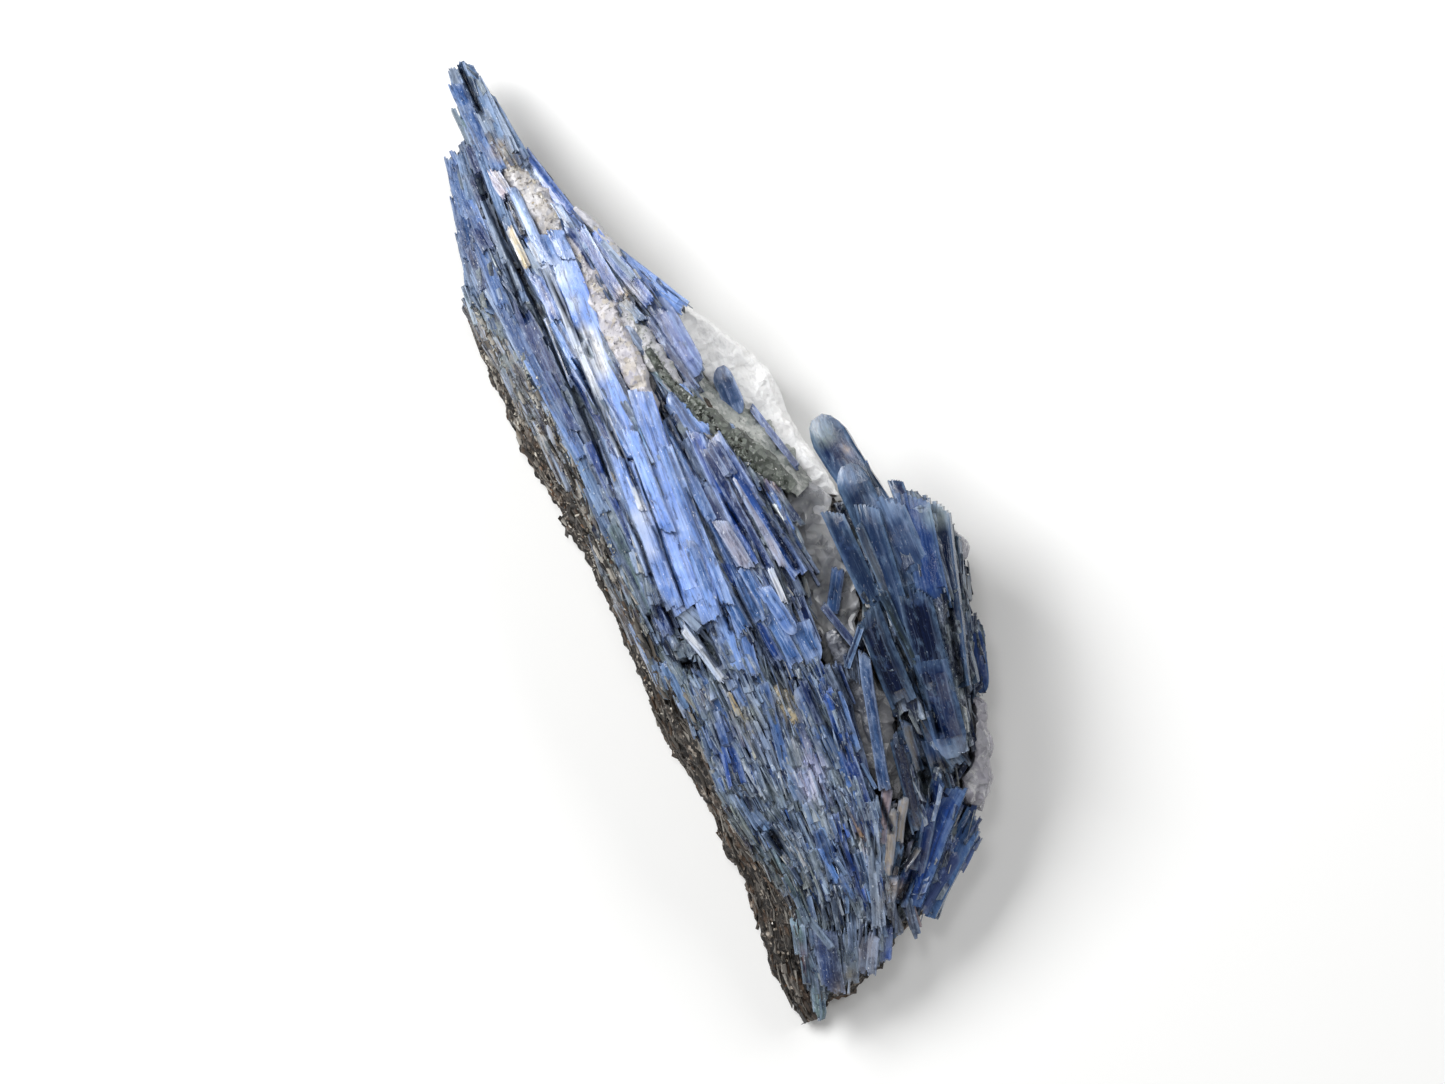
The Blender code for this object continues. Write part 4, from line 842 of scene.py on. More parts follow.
centreBlades = (
    (560, 262, 688, 604, 29, 3.2, 3.6, "bright", {"roll": 2, "split": (4.9, 8)}),
    # the narrow white blade is painted highlight: its white stands for the glare along the centre blade's
    # left edge
    (545, 264, 643, 512, 7, 3.3, 3.6, "white", {"roll": -8, "split": (1.2, 2)}),
    (622, 458, 674, 604, 16, 3.4, 3.8, "bright", {"roll": -8, "split": (2.6, 3.6)}),
    (602, 436, 652, 575, 8, 2.6, 3, "pale", {"roll": -10}),
    (546, 232, 561, 264, 30, 2.8, 3, "soft", {"split": (2, 3.5)}),
    (536, 276, 558, 322, 10, 2.6, 2.4, "royal", {"tips": (1, 0.5), "split": (1.7, 2.4)}),
    (524, 268, 542, 300, 7, 2.4, 2.2, "pale"), (548, 314, 576, 386, 10, 2, 1.8, "greyBlue"),
    (554, 322, 634, 458, 12, 2.4, 2.2, "mid", {"split": (1, 2.2)}),
    (572, 374, 638, 490, 7, 2.6, 2.4, "deep"),
    (640, 392, 710, 614, 20, 2.6, 3.4, "bright", {"roll": 4, "split": (3.6, 5)}),
    (664, 446, 726, 606, 14, 2.3, 2.9, "soft", {"split": (1.8, 2.8)}),
    (630, 430, 668, 530, 12, 2.9, 3.3, "bright", {"split": (2.2, 3.4)}),
    (690, 544, 718, 618, 12, 3, 3, "soft"), (706, 556, 746, 630, 13, 2, 2.2, "mid"),
    (716, 596, 739, 669, 12, 1.6, 1.4, "soft"), (734, 604, 755, 675, 12, 1.4, 1.2, "soft"),
    (668, 594, 704, 626, 16, 2.4, 1.8, "greyPale"), (528, 238, 548, 276, 6, 2.2, 2.4, "greyPale"),
    (512, 188, 538, 244, 9, 2.2, 2.4, "pale"), (508, 200, 524, 238, 5, 1.2, 1.2, "black"),
    (494, 190, 514, 240, 7, 1.8, 1.8, "greyBlue"),
    (488, 166, 508, 196, 13, 2.2, 2, "leaf", {"tips": (0.6, 0.8)}),
    (508, 226, 530, 272, 7, 2.2, 2, "cream", {"tips": (0.5, 0.6)}),
    (653, 588, 673, 636, 18, 0.9, 0.5, "deep", {"tips": (1, 0.6)}),
    (663, 602, 684, 640, 8, -0.4, -0.6, "black"), (698, 628, 722, 668, 13, -1, -1, "black"),
    (683, 640, 692, 666, 13, 0.6, 0.4, "greyBlue", {"tips": blunt}),
    (683, 628, 724, 681, 7, 1.6, 1.4, "white", {"roll": 14, "split": (1.2, 2)}),
    (638, 626, 668, 690, 11, 0, 0.2, "greyBlue", {"roll": -10}),
    (664, 660, 690, 714, 12, -0.2, 0, "greyBlue"), (700, 672, 722, 716, 11, 0, 0.2, "mid"),
    (728, 668, 748, 712, 10, 0.4, 0.2, "mid"), (748, 652, 772, 702, 10, 0.2, 0.2, "mid"),
    (814, 660, 838, 702, 10, -0.2, 0.2, "deep"),
)
middleBlades = (
    (673, 390, 706, 440, 25, 0.9, 0.9, "soft", {"tips": blunt, "split": (2, 4)}),
    (660, 398, 706, 484, 10, -0.6, 0, "black"), (664, 420, 712, 522, 12, 1.2, 1.4, "mid"),
    (682, 440, 742, 562, 12, 1.2, 1.6, "navy"), (696, 436, 754, 562, 12, 1.4, 1.6, "deep"),
    (706, 450, 768, 568, 9, 1.6, 1.8, "navy"),
    (716, 444, 798, 574, 15, 2, 2.4, "royal", {"roll": 14, "split": (2.2, 3.2)}),
    (712, 443, 731, 476, 13, 2.3, 2.4, "navy"), (736, 478, 784, 568, 7, 1.7, 1.9, "lilac"),
    (742, 528, 765, 566, 4, 1.2, 1.2, "black"),
    (722, 524, 746, 566, 12, 2.1, 2.2, "lilac", {"tips": (0.5, 0.7), "split": (2.2, 3)}),
    (700, 498, 762, 624, 12, 1, 1.4, "mid"), (740, 560, 795, 662, 13, 1.2, 1.2, "mid"),
    (724, 560, 778, 664, 11, 0.8, 1, "deep"), (762, 586, 795, 634, 13, 1.9, 1.5, "soft", {"tips": (1, 0.5)}),
    (750, 600, 786, 696, 9, 0.8, 0.6, "greyBlue"), (770, 568, 785, 604, 5, 2, 2, "white"),
    (736, 590, 764, 644, 7, -0.4, -0.2, "black"), (764, 492, 799, 568, 11, -1.4, -0.8, "black"),
    (778, 560, 800, 600, 10, -0.8, -0.6, "dark"), (790, 578, 818, 648, 11, -0.8, -0.2, "navy"),
    (797, 622, 816, 664, 22, 0.6, 0.4, "mid", {"tips": (1, 0.6), "split": (2.5, 4.5)}),
)
upperBlades = (
    (522, 150, 574, 216, 11, 1, 0.8, "royal"), (514, 146, 540, 186, 5, 0.8, 0.6, "greyPale"),
    (540, 180, 580, 228, 8, 0.2, 0.4, "deep"), (536, 168, 578, 216, 5, -0.4, -0.2, "pale"),
    (556, 204, 586, 252, 8, 1.4, 1.4, "greyBlue"), (576, 214, 612, 252, 8, -0.8, -1, "greyPale"),
    (566, 226, 611, 313, 9, 1.8, 1.4, "navy"), (578, 226, 622, 302, 11, 1.6, 1, "deep"),
    (592, 232, 650, 304, 13, 1, 0.6, "royal"), (602, 242, 636, 282, 6, 1.5, 1.1, "greyPale"),
    (616, 256, 684, 308, 14, -0.6, -1.4, "soft"), (640, 274, 684, 307, 9, -1.6, -2.4, "mid"),
    (572, 240, 610, 312, 4, 0.8, 0.6, "black"),
    (614, 292, 641, 324, 13, 0.4, 0.2, "greyPale", {"tips": (0.6, 1)}),
    (620, 324, 646, 359, 13, 0.6, 0.2, "dark", {"tips": (0.6, 1), "split": (2.2, 3)}),
    (636, 354, 664, 402, 7, -0.8, -0.8, "black"), (642, 316, 694, 390, 10, -0.8, -1, "navy"),
    (650, 292, 702, 384, 22, -1, -1.6, "violet", {"tips": (0.6, 0.7), "split": (3.4, 5)}),
    (652, 366, 704, 420, 12, -0.4, -0.4, "greenPale", {"tips": (0.6, 1), "split": (2, 3)}),
)
# These are not broken into short lengths
whole = {"shattered": False}
lowerBlades = (
    (708, 684, 722, 722, 12, 0, 0, "mid"), (716, 716, 732, 768, 16, 0, 0.2, "deep"),
    (763, 682, 786, 770, 9, 0.6, 0.5, "mid", whole), (746, 690, 772, 756, 8, 0.4, 0.4, "greyPale"),
    (728, 692, 752, 744, 7, 0.4, 0.4, "cream"),
    (794, 683, 866, 810, 15, 1.5, 1.6, "mid", {**whole, "split": (1.4, 2.8), "tips": (0.7, 1)}),
    (826, 690, 852, 768, 12, 1.3, 1.4, "royal", {**whole, "split": (1.4, 2.4)}),
    (802, 680, 820, 724, 8, 1.9, 1.8, "navy", whole), (850, 760, 876, 838, 12, 1.5, 1.6, "deep", whole),
    (863, 655, 883, 788, 10, 2.4, 2.6, "dusk", {**whole, "split": (2.4, 3)}),
    (823, 606, 856, 648, 7, 0.8, 1.2, "slate", whole), (846, 668, 860, 626, 6, 1.4, 1.6, "greyBlue", whole),
    (849, 654, 853, 682, 13, 0.4, 0.4, "black", whole), (836, 664, 852, 706, 8, 0.6, 0.6, "navy", whole),
    (846, 700, 868, 786, 9, 0.2, 0.4, "navy", whole), (838, 690, 858, 752, 7, 0.9, 0.9, "mid", whole),
    (826, 666, 846, 706, 7, 0.8, 0.8, "dark", whole), (858, 764, 874, 806, 8, 0.6, 0.8, "greyBlue"),
    (870, 800, 880, 930, 12, 1.6, 2.6, "greyPale", whole), (856, 850, 878, 922, 10, 1, 1.2, "greyBlue"),
    (826, 936, 835, 998, 20, 1.4, 1.1, "navy", {**whole, "split": (2, 3.5)}),
    (740, 790, 790, 860, 10, 0.2, 0.4, "greyBlue"), (818, 830, 846, 894, 12, 0.8, 0.8, "mid"),
    (806, 800, 838, 868, 10, 0.4, 0.8, "greyBlue"), (838, 812, 862, 890, 10, 0.8, 0.8, "deep"),
    (770, 850, 812, 922, 10, 0, 0.2, "greyGreen"), (806, 896, 822, 950, 12, 0.2, 0.4, "greyBlue"),
    (848, 890, 856, 950, 11, 0.4, 0.4, "greyBlue"), (796, 906, 812, 974, 11, -0.4, 0.2, "greyGreen"),
    (690, 706, 716, 760, 10, -0.6, -0.2, "greyBlue"), (742, 740, 772, 796, 9, 0.4, 0.4, "greyPale"),
    (780, 760, 806, 822, 9, 0.6, 0.4, "greyBlue"), (812, 950, 818, 1010, 12, -0.2, -0.2, "greyGreen"),
    (869, 940, 865, 976, 21, 1.2, 0.8, "lilac", {**whole, "split": (1.6, 3)}),
    (887, 930, 886, 966, 12, 0.8, 0.4, "deep", whole), (902, 898, 908, 917, 14, 0.8, 0.4, "greyBlue"),
    (892, 904, 897, 927, 11, 0.6, 0.3, "greyPale"), (915, 900, 918, 912, 9, 0.6, 0.3, "leaf"),
    (850, 946, 852, 984, 14, 1.1, 0.7, "greyGreen", {**whole, "split": (1.5, 2.6)}),
)
fanBlades = (
    (816, 419, 900, 552, 32, -2.2, -0.6, "deep", {"tips": (0.5, 1), "roll": 10, "split": (5, 8)}),
    (844, 466, 906, 604, 29, 1, 0.8, "mid", {"tips": (0.6, 1), "roll": 12, "split": (4.6, 8)}),
    (880, 496, 912, 568, 30, 2.2, 2.2, "soft", {"roll": 6}),
    (864, 507, 900, 624, 20, 1.8, 2, "mid", {"roll": 16}), (830, 510, 874, 606, 18, 0.2, 0.4, "mid"),
    (858, 526, 892, 606, 8, 1.6, 1.4, "greyPale"), (898, 500, 906, 534, 12, 1, 1, "greyGreen"),
    (911, 500, 934, 606, 27, 4, 3.4, "royal", {"roll": 6}),
    (934, 508, 956, 690, 22, 1.6, 2.8, "deep", {"roll": 18}),
    (911, 485, 922, 520, 20, 0.6, 1.4, "greenPale", {"tips": blunt}),
    (951, 534, 963, 640, 11, -3, -2, "greyGreen", {"roll": 20}),
    (895, 483, 906, 512, 12, -0.6, 0.4, "violet", {"tips": blunt}), (962, 566, 965, 650, 8, -6.4, -6, "mid"),
    (977, 621, 983, 692, 13, -7, -6, "royal", {"tips": blunt}),
    (912, 596, 936, 690, 30, 3.4, 3.4, "navy", {"roll": 8}),
    (926, 654, 954, 757, 30, 4, 3.2, "deep", {"roll": 8, "tips": (1, 0.6), "split": (4.8, 8)}),
    (874, 632, 956, 762, 13, 1.2, 1.6, "greyBlue", {"roll": 10}),
    (868, 618, 904, 706, 24, 1.6, 1.8, "navy", {"roll": 12}), (880, 588, 916, 668, 8, 2.4, 2.6, "greyGreen"),
    (942, 590, 966, 682, 18, -0.4, -0.6, "dark", {"roll": 18}), (892, 590, 922, 686, 14, 1.6, 1.6, "deep"),
    (897, 740, 920, 836, 14, 1.4, 1.4, "navy", {"roll": 10}),
    (905, 724, 920, 772, 8, 2.4, 2.2, "tan", {"tips": (0.6, 1)}), (918, 700, 948, 776, 14, 0.4, 0.2, "dark"),
    (930, 744, 950, 806, 14, 0.4, 0, "dark"), (950, 560, 958, 640, 12, -9, -8, "dark", {"roll": 20}),
    (962, 640, 972, 716, 13, -9.5, -8, "dark", {"roll": 20}),
    (948, 792, 908, 900, 27, 1, 1.2, "deep", {"roll": 12}),
    (972, 822, 925, 915, 19, -1.6, -0.4, "mid", {"roll": 16}), (975, 838, 958, 872, 13, -2.8, -2, "violet"),
    (958, 856, 922, 914, 12, -0.8, -0.2, "violet"), (938, 780, 917, 880, 12, 1.8, 1.6, "navy"),
    (916, 846, 900, 905, 14, 1.4, 1.4, "navy"), (897, 845, 888, 912, 11, 1.4, 1.6, "greyBlue"),
    (893, 812, 887, 874, 9, 1.9, 1.8, "tan"), (886, 790, 881, 846, 9, 1.5, 1.5, "leaf"),
    (903, 800, 897, 846, 9, 1.4, 1.3, "tan"), (880, 842, 879, 905, 9, 1.6, 1.6, "greyPale"),
    (884, 926, 892, 942, 11, -0.4, -0.4, "greyBlue"),
    (966, 806, 950, 872, 12, -5, -4, "violet", {"roll": 20}), (918, 848, 902, 872, 6, 2.4, 2.2, "tan"),
)

# How a blade is split: strip width, and how much strips differ in height, roll, ends and brightness
shatter = {"length": (2.4, 7.0), "yaw": 4.5, "roll": 11.0, "pitch": 3.5, "height": 0.40, "aside": 0.30,
           "left": 0.88}
bundle = {
    "height": 0.08, "roll": 2.4, "yaw": 0.25, "ends": 0.35, "overlap": 1.16, "brightness": 0.20, "depth": 1.6,
    "splitChance": 0.12, "roundFrom": 2.6, "broadFrom": 1.5, "lathFrom": 0.8,
}


def shade(tint, rng, spread):
    # the same hue, a little lighter or darker
    factor = math.exp(rng.gauss(0, spread))
    return [min(1.0, channel * factor) for channel in tint]


# The fan's blades are darker, most of all above its lowest group: partly their own deep colour, partly
# painted shade
fanShades = {"upper": 0.20, "lower": 0.85, "lowerFrom": 770, "royal": 0.5}


def tintOf(row):
    factor = 1.0
    if row in fanBlades:
        place = "lower" if row[1] > fanShades["lowerFrom"] else "upper"
        factor = fanShades["royal" if row[7] == "royal" else place]
    return [channel * factor for channel in linear(bladeTints[row[7]])]


def turned(degrees, about):
    return Matrix.Rotation(math.radians(degrees), 3, about)


def bladeFrame(row, surface=reliefAt):
    x0, y0, x1, y1, width, lift0, lift1 = row[:7]
    options = row[8] if len(row) > 8 else {}
    a = planOf(x0, y0)
    b = planOf(x1, y1)
    start = Vector((a.x, a.y, float(surface(a.x, a.y)) + lift0))
    end = Vector((b.x, b.y, float(surface(b.x, b.y)) + lift1))
    axis = (end - start).normalized()
    side = turned(options.get("roll", 0.0), axis) @ axis.cross(upwards).normalized()
    up = side.cross(axis)
    return start, end, axis, up.cross(axis), up, width * mmPerPixel, options


def shards(rng, start, axis, side, up, reach, across, tint, offset, half):
    # a strip that is broken into short lengths, each a little out of line
    copies = []
    done = 0.0
    while done < reach:
        length = rng.uniform(*shatter["length"])
        if rng.random() < shatter["left"]:
            turn = turned(rng.gauss(0, shatter["yaw"]), up) @ turned(rng.gauss(0, shatter["pitch"]), side)
            turn = turn @ turned(rng.gauss(0, shatter["roll"]), axis)
            place = start + axis * done + side * rng.gauss(0, shatter["aside"])
            place = place + up * rng.uniform(-1, 0.4) * shatter["height"]
            copies.append({
                "form": rng.choice(fibres), "start": place, "length": length,
                "axis": turn @ axis, "side": turn @ side, "up": turn @ up,
                "width": across * rng.uniform(0.8, 1.3), "depth": bundle["depth"],
                "tint": shade(tint, rng, 2 * bundle["brightness"]), "offset": offset, "half": half,
                "shift": rng.uniform(0, 400),
            })
        done += length * rng.uniform(0.5, 1.0)
    return copies


def stripsOf(row, rng, split, shattered=False, surface=reliefAt):
    # a blade is a bundle of parallel strips, each a copy of a lath
    start, end, axis, side, up, width, options = bladeFrame(row, surface)
    tint = tintOf(row)
    split = options.get("split", split)
    cuts = [0.0]
    while cuts[-1] < width - 0.3 * split[0]:
        cuts.append(cuts[-1] + rng.uniform(*split))
    cuts = [c * width / cuts[-1] - width / 2 for c in cuts]
    tips = options.get("tips", (1.0, 1.0))
    length = (end - start).length
    copies = []
    for low, high in zip(cuts, cuts[1:]):
        middle = (low + high) / 2
        share = abs(middle) / (width / 2)
        broad = (high - low) * bundle["overlap"]
        styles = tuple("round" if tip < 0.9 and broad > bundle["roundFrom"] else "ragged" for tip in tips)
        # what the form adds past its ends is taken off first
        late = [rng.uniform(0.0, bundle["ends"]) * (0.6 + 1.2 * broad) + 0.9 * width * max(0.0, share - tip)
                + broad * (0.55 if style == "round" else 0.25) for tip, style in zip(tips, styles)]
        reach = length - sum(late)
        if reach < 1.0:
            continue
        if options.get("shattered", shattered):
            copies += shards(rng, start + axis * late[0] + side * middle, axis, side, up, reach, high - low,
                             tint, middle, width / 2)
            continue
        pieces = [(0.0, 1.0)]
        if rng.random() < bundle["splitChance"] and reach > 8.0 and broad < 1.6:
            at = rng.uniform(0.25, 0.75)
            pieces = [(0.0, at - 0.01), (at + 0.01, 1.0)]
        for first, last in pieces:
            roll = turned(rng.gauss(0, bundle["roll"]), axis)
            turn = turned(rng.gauss(0, bundle["yaw"]), up) @ roll
            # the crown of the blade falls off towards its two edges
            drop = 0.10 * width * max(0.0, share - 0.7) / 0.3 + abs(rng.gauss(0, bundle["height"]))
            lathForms = longLaths if reach > 14 else laths
            broadForms = longBroads if reach > 30 else broads[styles]
            narrowForms = lathForms if broad > bundle["lathFrom"] else thinLaths
            copies.append({
                "form": rng.choice(broadForms if broad > bundle["broadFrom"] else narrowForms),
                "start": start + axis * (late[0] + reach * first) + side * middle - up * (drop + 0.1 * broad),
                "axis": turn @ axis, "side": turn @ side, "up": turn @ up,
                "length": reach * (last - first), "width": broad, "depth": bundle["depth"],
                "tint": shade(tint, rng, bundle["brightness"]), "offset": middle, "half": width / 2,
                "shift": rng.uniform(0, 400),
            })
    return copies


bladeGroups = {
    # rows, seed, look, how wide the strips are in mm, and whether they are broken short
    "tip_blades": (tipBlades, 1, "worn", (0.8, 1.9)),
    "left_blades": (leftBlades, 2, "worn", (0.7, 2.1)),
    "centre_blades": (centreBlades, 3, "blade", (1.0, 3.0)),
    "middle_blades": (middleBlades, 4, "blade", (1.0, 2.8)),
    "upper_blades": (upperBlades, 5, "blade", (1.0, 2.6)),
    "lower_blades": (lowerBlades, 6, "worn", (0.6, 1.3), True),
    "fan_blades": (fanBlades, 7, "fan", (3.4, 8.0)),
}
for name, (rows, seed, look, *how) in bladeGroups.items():
    rng = random.Random(seed)
    joinedCopies("kyanite_" + name, [copy for row in rows for copy in stripsOf(row, rng, *how)], look)


# Grain direction and tint anywhere in plan come from the blades nearby
def rowTable(rows):
    start, end, axis, _, _, width, _ = zip(*(bladeFrame(row) for row in rows))
    lift, tint = [row[5:7] for row in rows], [tintOf(row) for row in rows]
    return {"lift": np.array(lift), "start": np.array(start), "end": np.array(end), "axis": np.array(axis),
            "half": np.array(width) / 2, "tint": np.array(tint)}


def nearRows(table, points, reach):
    # weights of each blade at each point, by distance from the blade's edge in plan
    a = table["start"][None, :, :2]
    run = table["end"][None, :, :2] - a
    step = points[:, None, :2] - a
    part = np.clip((step * run).sum(2) / (run ** 2).sum(2), 0, 1)
    distance = np.linalg.norm(step - run * part[:, :, None], axis=2) - table["half"][None, :]
    weight = np.exp(-np.maximum(distance, 0.0) / reach) + 1e-9
    weight /= weight.sum(1)[:, None]
    lift = (weight * (table["lift"][None, :, 0] + (table["lift"][:, 1] - table["lift"][:, 0]) * part)).sum(1)
    return weight, distance, lift


mainRows = tipBlades + leftBlades + centreBlades + middleBlades + upperBlades + lowerBlades
sprays = {"kyanite_main_spray": rowTable(mainRows), "kyanite_right_fan": rowTable(fanBlades)}


def copyOfNode(node, name, voxel):
    # a node's mesh is loose triangles, so the copy's points are merged, and then remade in even faces
    body = frame["nodes"][node].copy()
    body.data = body.data.copy()
    body.name = name
    for key in list(body.keys()):
        if key.startswith("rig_"):
            del body[key]
    body.parent = None
    body.matrix_world = Matrix.Identity(4)
    bpy.context.scene.collection.objects.link(body)
    choose(body)
    openMesh()
    pickAll()
    bpy.ops.mesh.remove_doubles(threshold=0.000005)
    closeMesh()
    for layer in list(body.data.uv_layers):
        body.data.uv_layers.remove(layer)
    remesh = body.modifiers.new("remesh", "REMESH")
    remesh.mode = "VOXEL"
    remesh.voxel_size = voxel * toMetres
    bpy.ops.object.modifier_apply(modifier=remesh.name)
    return body


def broken(body, ratio):
    # collapsing the mesh leaves plane breaks with ridges between
    fewer = body.modifiers.new("breaks", "DECIMATE")
    fewer.ratio = ratio
    bpy.ops.object.modifier_apply(modifier=fewer.name)


def pointsOf(mesh):
    values = np.zeros(len(mesh.vertices) * 3)
    mesh.vertices.foreach_get("co", values)
    return values.reshape(-1, 3) / toMetres


def normalsOf(mesh):
    values = np.zeros(len(mesh.vertices) * 3, np.float32)
    mesh.vertices.foreach_get("normal", values)
    return values.reshape(-1, 3)


def setPoints(mesh, points):
    mesh.vertices.foreach_set("co", (points * toMetres).astype(np.float32).ravel())
    mesh.update()


def noiseAt(p, x, y, z):
    # a soft random number, with waves of these lengths in mm
    return noise.noise(Vector((p[0] / x, p[1] / y, p[2] / z)))


# The fibrous mass that the blades grow out of
mass = {"voxel": 0.6, "shrink": 0.75, "ridge": 0.45, "length": 8.0, "width": 0.75, "creviceShade": "#0D1830",
        "grey": "#6F7872", "greyReach": 24.0, "brown": "#3A322B"}


def sprayMass(node, name):
    body = copyOfNode(node, name, mass["voxel"])
    mesh = body.data
    points = pointsOf(mesh)
    wave = np.array([noiseAt(p, mass["length"], mass["width"], mass["width"]) for p in points])
    move = mass["ridge"] * wave - mass["shrink"]
    points = keptInBox(points + normalsOf(mesh) * move[:, None])
    setPoints(mesh, points)
    tint = nearRows(sprays[node], points, 1.2)[0] @ sprays[node]["tint"]
    # painted shade: the colour darkens towards creviceShade below the dome and in the grooves between the
    # ridges
    depth = np.clip((reliefOf(points) - points[:, 2] - 1.0) / 3.0, 0, 1)[:, None]
    depth = np.maximum(depth, np.clip(-wave, 0, 1)[:, None])
    tint = tint * (1 - 0.8 * depth) + np.array(linear(mass["creviceShade"])) * 0.8 * depth
    inside = insideEdge(points)
    grey = np.clip(1 - inside / mass["greyReach"], 0, 1)[:, None] * 0.6
    tint = tint * (1 - grey) + np.array(linear(mass["grey"])) * grey
    tint[inside < 2.0] = linear(mass["brown"])
    points, tint = weathered(points, tint)
    setPoints(mesh, points)
    setTint(mesh, tint)
    setRim(mesh, np.clip(wave, 0, 1) * 0.6)
    setGrain(mesh, np.stack([points[:, 0], points[:, 1] + 0.7 * points[:, 2]], 1))
    dressed(body, materials["fibre"], "blue_kyanite", [node])


sprayMass("kyanite_main_spray", "kyanite_main_mass")
sprayMass("kyanite_right_fan", "kyanite_fan_mass")


# Points spread evenly over the surface of nodes
def trianglesOf(*nodes):
    found = []
    for node in nodes:
        mesh = frame["nodes"][node].data
        mesh.calc_loop_triangles()
        found.append(pointsOf(mesh)[np.array([t.vertices for t in mesh.loop_triangles])])
    return np.vstack(found)


def scattered(triangles, count, seed):
    rng = np.random.default_rng(seed)
    a, b, c = triangles[:, 0], triangles[:, 1], triangles[:, 2]
    cross = np.cross(b - a, c - a)
    area = np.linalg.norm(cross, axis=1)
    chosen = rng.choice(len(area), count, p=area / area.sum())
    u, v = rng.random(count), rng.random(count)
    over = u + v > 1
    u[over], v[over] = 1 - u[over], 1 - v[over]
    places = a[chosen] + (b - a)[chosen] * u[:, None] + (c - a)[chosen] * v[:, None]
    return places, cross[chosen] / area[chosen][:, None]


def treeOf(node):
    triangles = trianglesOf(node)
    points = [Vector(p) for p in triangles.reshape(-1, 3)]
    return BVHTree.FromPolygons(points, [(3 * k, 3 * k + 1, 3 * k + 2) for k in range(len(triangles))])


schistTree = treeOf("schist_matrix")
mainTree = treeOf("kyanite_main_spray")


def isNear(tree, spot, reach):
    return tree.find_nearest(Vector(spot), reach)[0] is not None


def seeded(places, normals, table, reach):
    # each place with its normal, the direction and tint of the blades there, how far it is from the nearest,
    # the dome's height, the blades' height over it, the way in from the schist's edge, and the pixel's y
    weight, distance, lift = nearRows(table, places, reach)
    return zip(places, normals, weight @ table["axis"], weight @ table["tint"], distance.min(1),
               reliefOf(places), lift, insideEdge(places), pixelsOf(places)[:, 1])


def leaning(axis, up, rng, yaw, pitch, roll):
    # turned at random by these spreads in degrees
    for angle, about in ((rng.gauss(0, yaw), up), (rng.gauss(0, pitch), axis.cross(up))):
        turn = turned(angle, about)
        axis, up = turn @ axis, turn @ up
    return axis, turned(rng.gauss(0, roll), axis) @ up


def between(ends, draw):
    # a draw near 0 is near the first of the two sizes
    return ends[0] * (ends[1] / ends[0]) ** draw


def thinBlade(form, start, axis, up, length, width, depth, tint, half, shift):
    return {"form": form, "start": start, "axis": axis, "side": up.cross(axis), "up": up, "length": length,
            "width": width, "depth": depth, "tint": tint, "offset": 0.0, "half": half, "shift": shift}


# Splinters: how many, their size, and how far they stand out
splinter = {
    "main": 4600, "fan": 1500, "fanFrom": 560.0, "length": (1.4, 6.0), "width": (0.25, 1.05),
    "lift": (-0.05, 0.32), "depth": 0.9, "spreads": (6.0, 3.5, 11.0), "onBlades": 0.03, "brightness": 0.38,
    "creamChance": 0.10, "cream": "#C9C6BC", "dimChance": 0.18, "dim": "#122746",
}
# Next to the schist the crystals are weathered grey, and past its edge the splinters are woody schist
edgeTints = {
    "reach": 32.0, "chance": 0.85, "grey": ("#8C948E", "#A9AEA6", "#66706C", "#C2C0B4", "#2C3648", "#7F90AC"),
    "schist": ("#1E1A17", "#2E2823", "#453D36", "#5E554C", "#7A7065", "#988E82"),
}


def edgeTint(inside, tint, rng):
    if inside < 2.0:
        return linear(rng.choice(edgeTints["schist"]))
    if rng.random() < edgeTints["chance"] * (1 - inside / edgeTints["reach"]):
        return linear(rng.choice(edgeTints["grey"]))
    return tint


def splintersOf(node, count, seed):
    rng = random.Random(seed)
    copies = []
    places = scattered(trianglesOf(node), count, seed)
    for p, n, g, tint, gap, relief, _, inside, pixelY in seeded(*places, sprays[node], 1.6):
        along = Vector(g - n * (g @ n))
        spiky = node == "kyanite_right_fan" and pixelY < splinter["fanFrom"]
        if spiky or along.length < 0.6 or isNear(schistTree, p, 0.7):
            continue
        onBlade = gap < -0.1 and n[2] > 0.6 and p[2] > relief - 0.5
        if onBlade and rng.random() > splinter["onBlades"]:
            continue
        axis, up = leaning(along.normalized(), Vector(n), rng, *splinter["spreads"])
        length = rng.uniform(*splinter["length"]) * (0.6 if onBlade else 1.0)
        width = between(splinter["width"], rng.random() ** 1.4)
        lift = rng.uniform(*splinter["lift"])
        kind = rng.random()
        if kind < splinter["creamChance"]:
            tint = linear(splinter["cream"])
        elif kind > 1 - splinter["dimChance"]:
            tint = linear(splinter["dim"])
        tint = edgeTint(inside, tint, rng)
        copies.append(thinBlade(
            rng.choice(splinters), Vector(p) + up * lift - axis * length / 2, axis, up, length, width,
            splinter["depth"], shade(tint, rng, splinter["brightness"]), width, rng.uniform(0, 400)))
    return copies


for place, node, seed in (("main", "kyanite_main_spray", 61), ("fan", "kyanite_right_fan", 62)):
    copies = splintersOf(node, splinter[place], seed)
    joinedCopies(f"kyanite_{place}_splinters", copies, "fibre", warp=0.05)

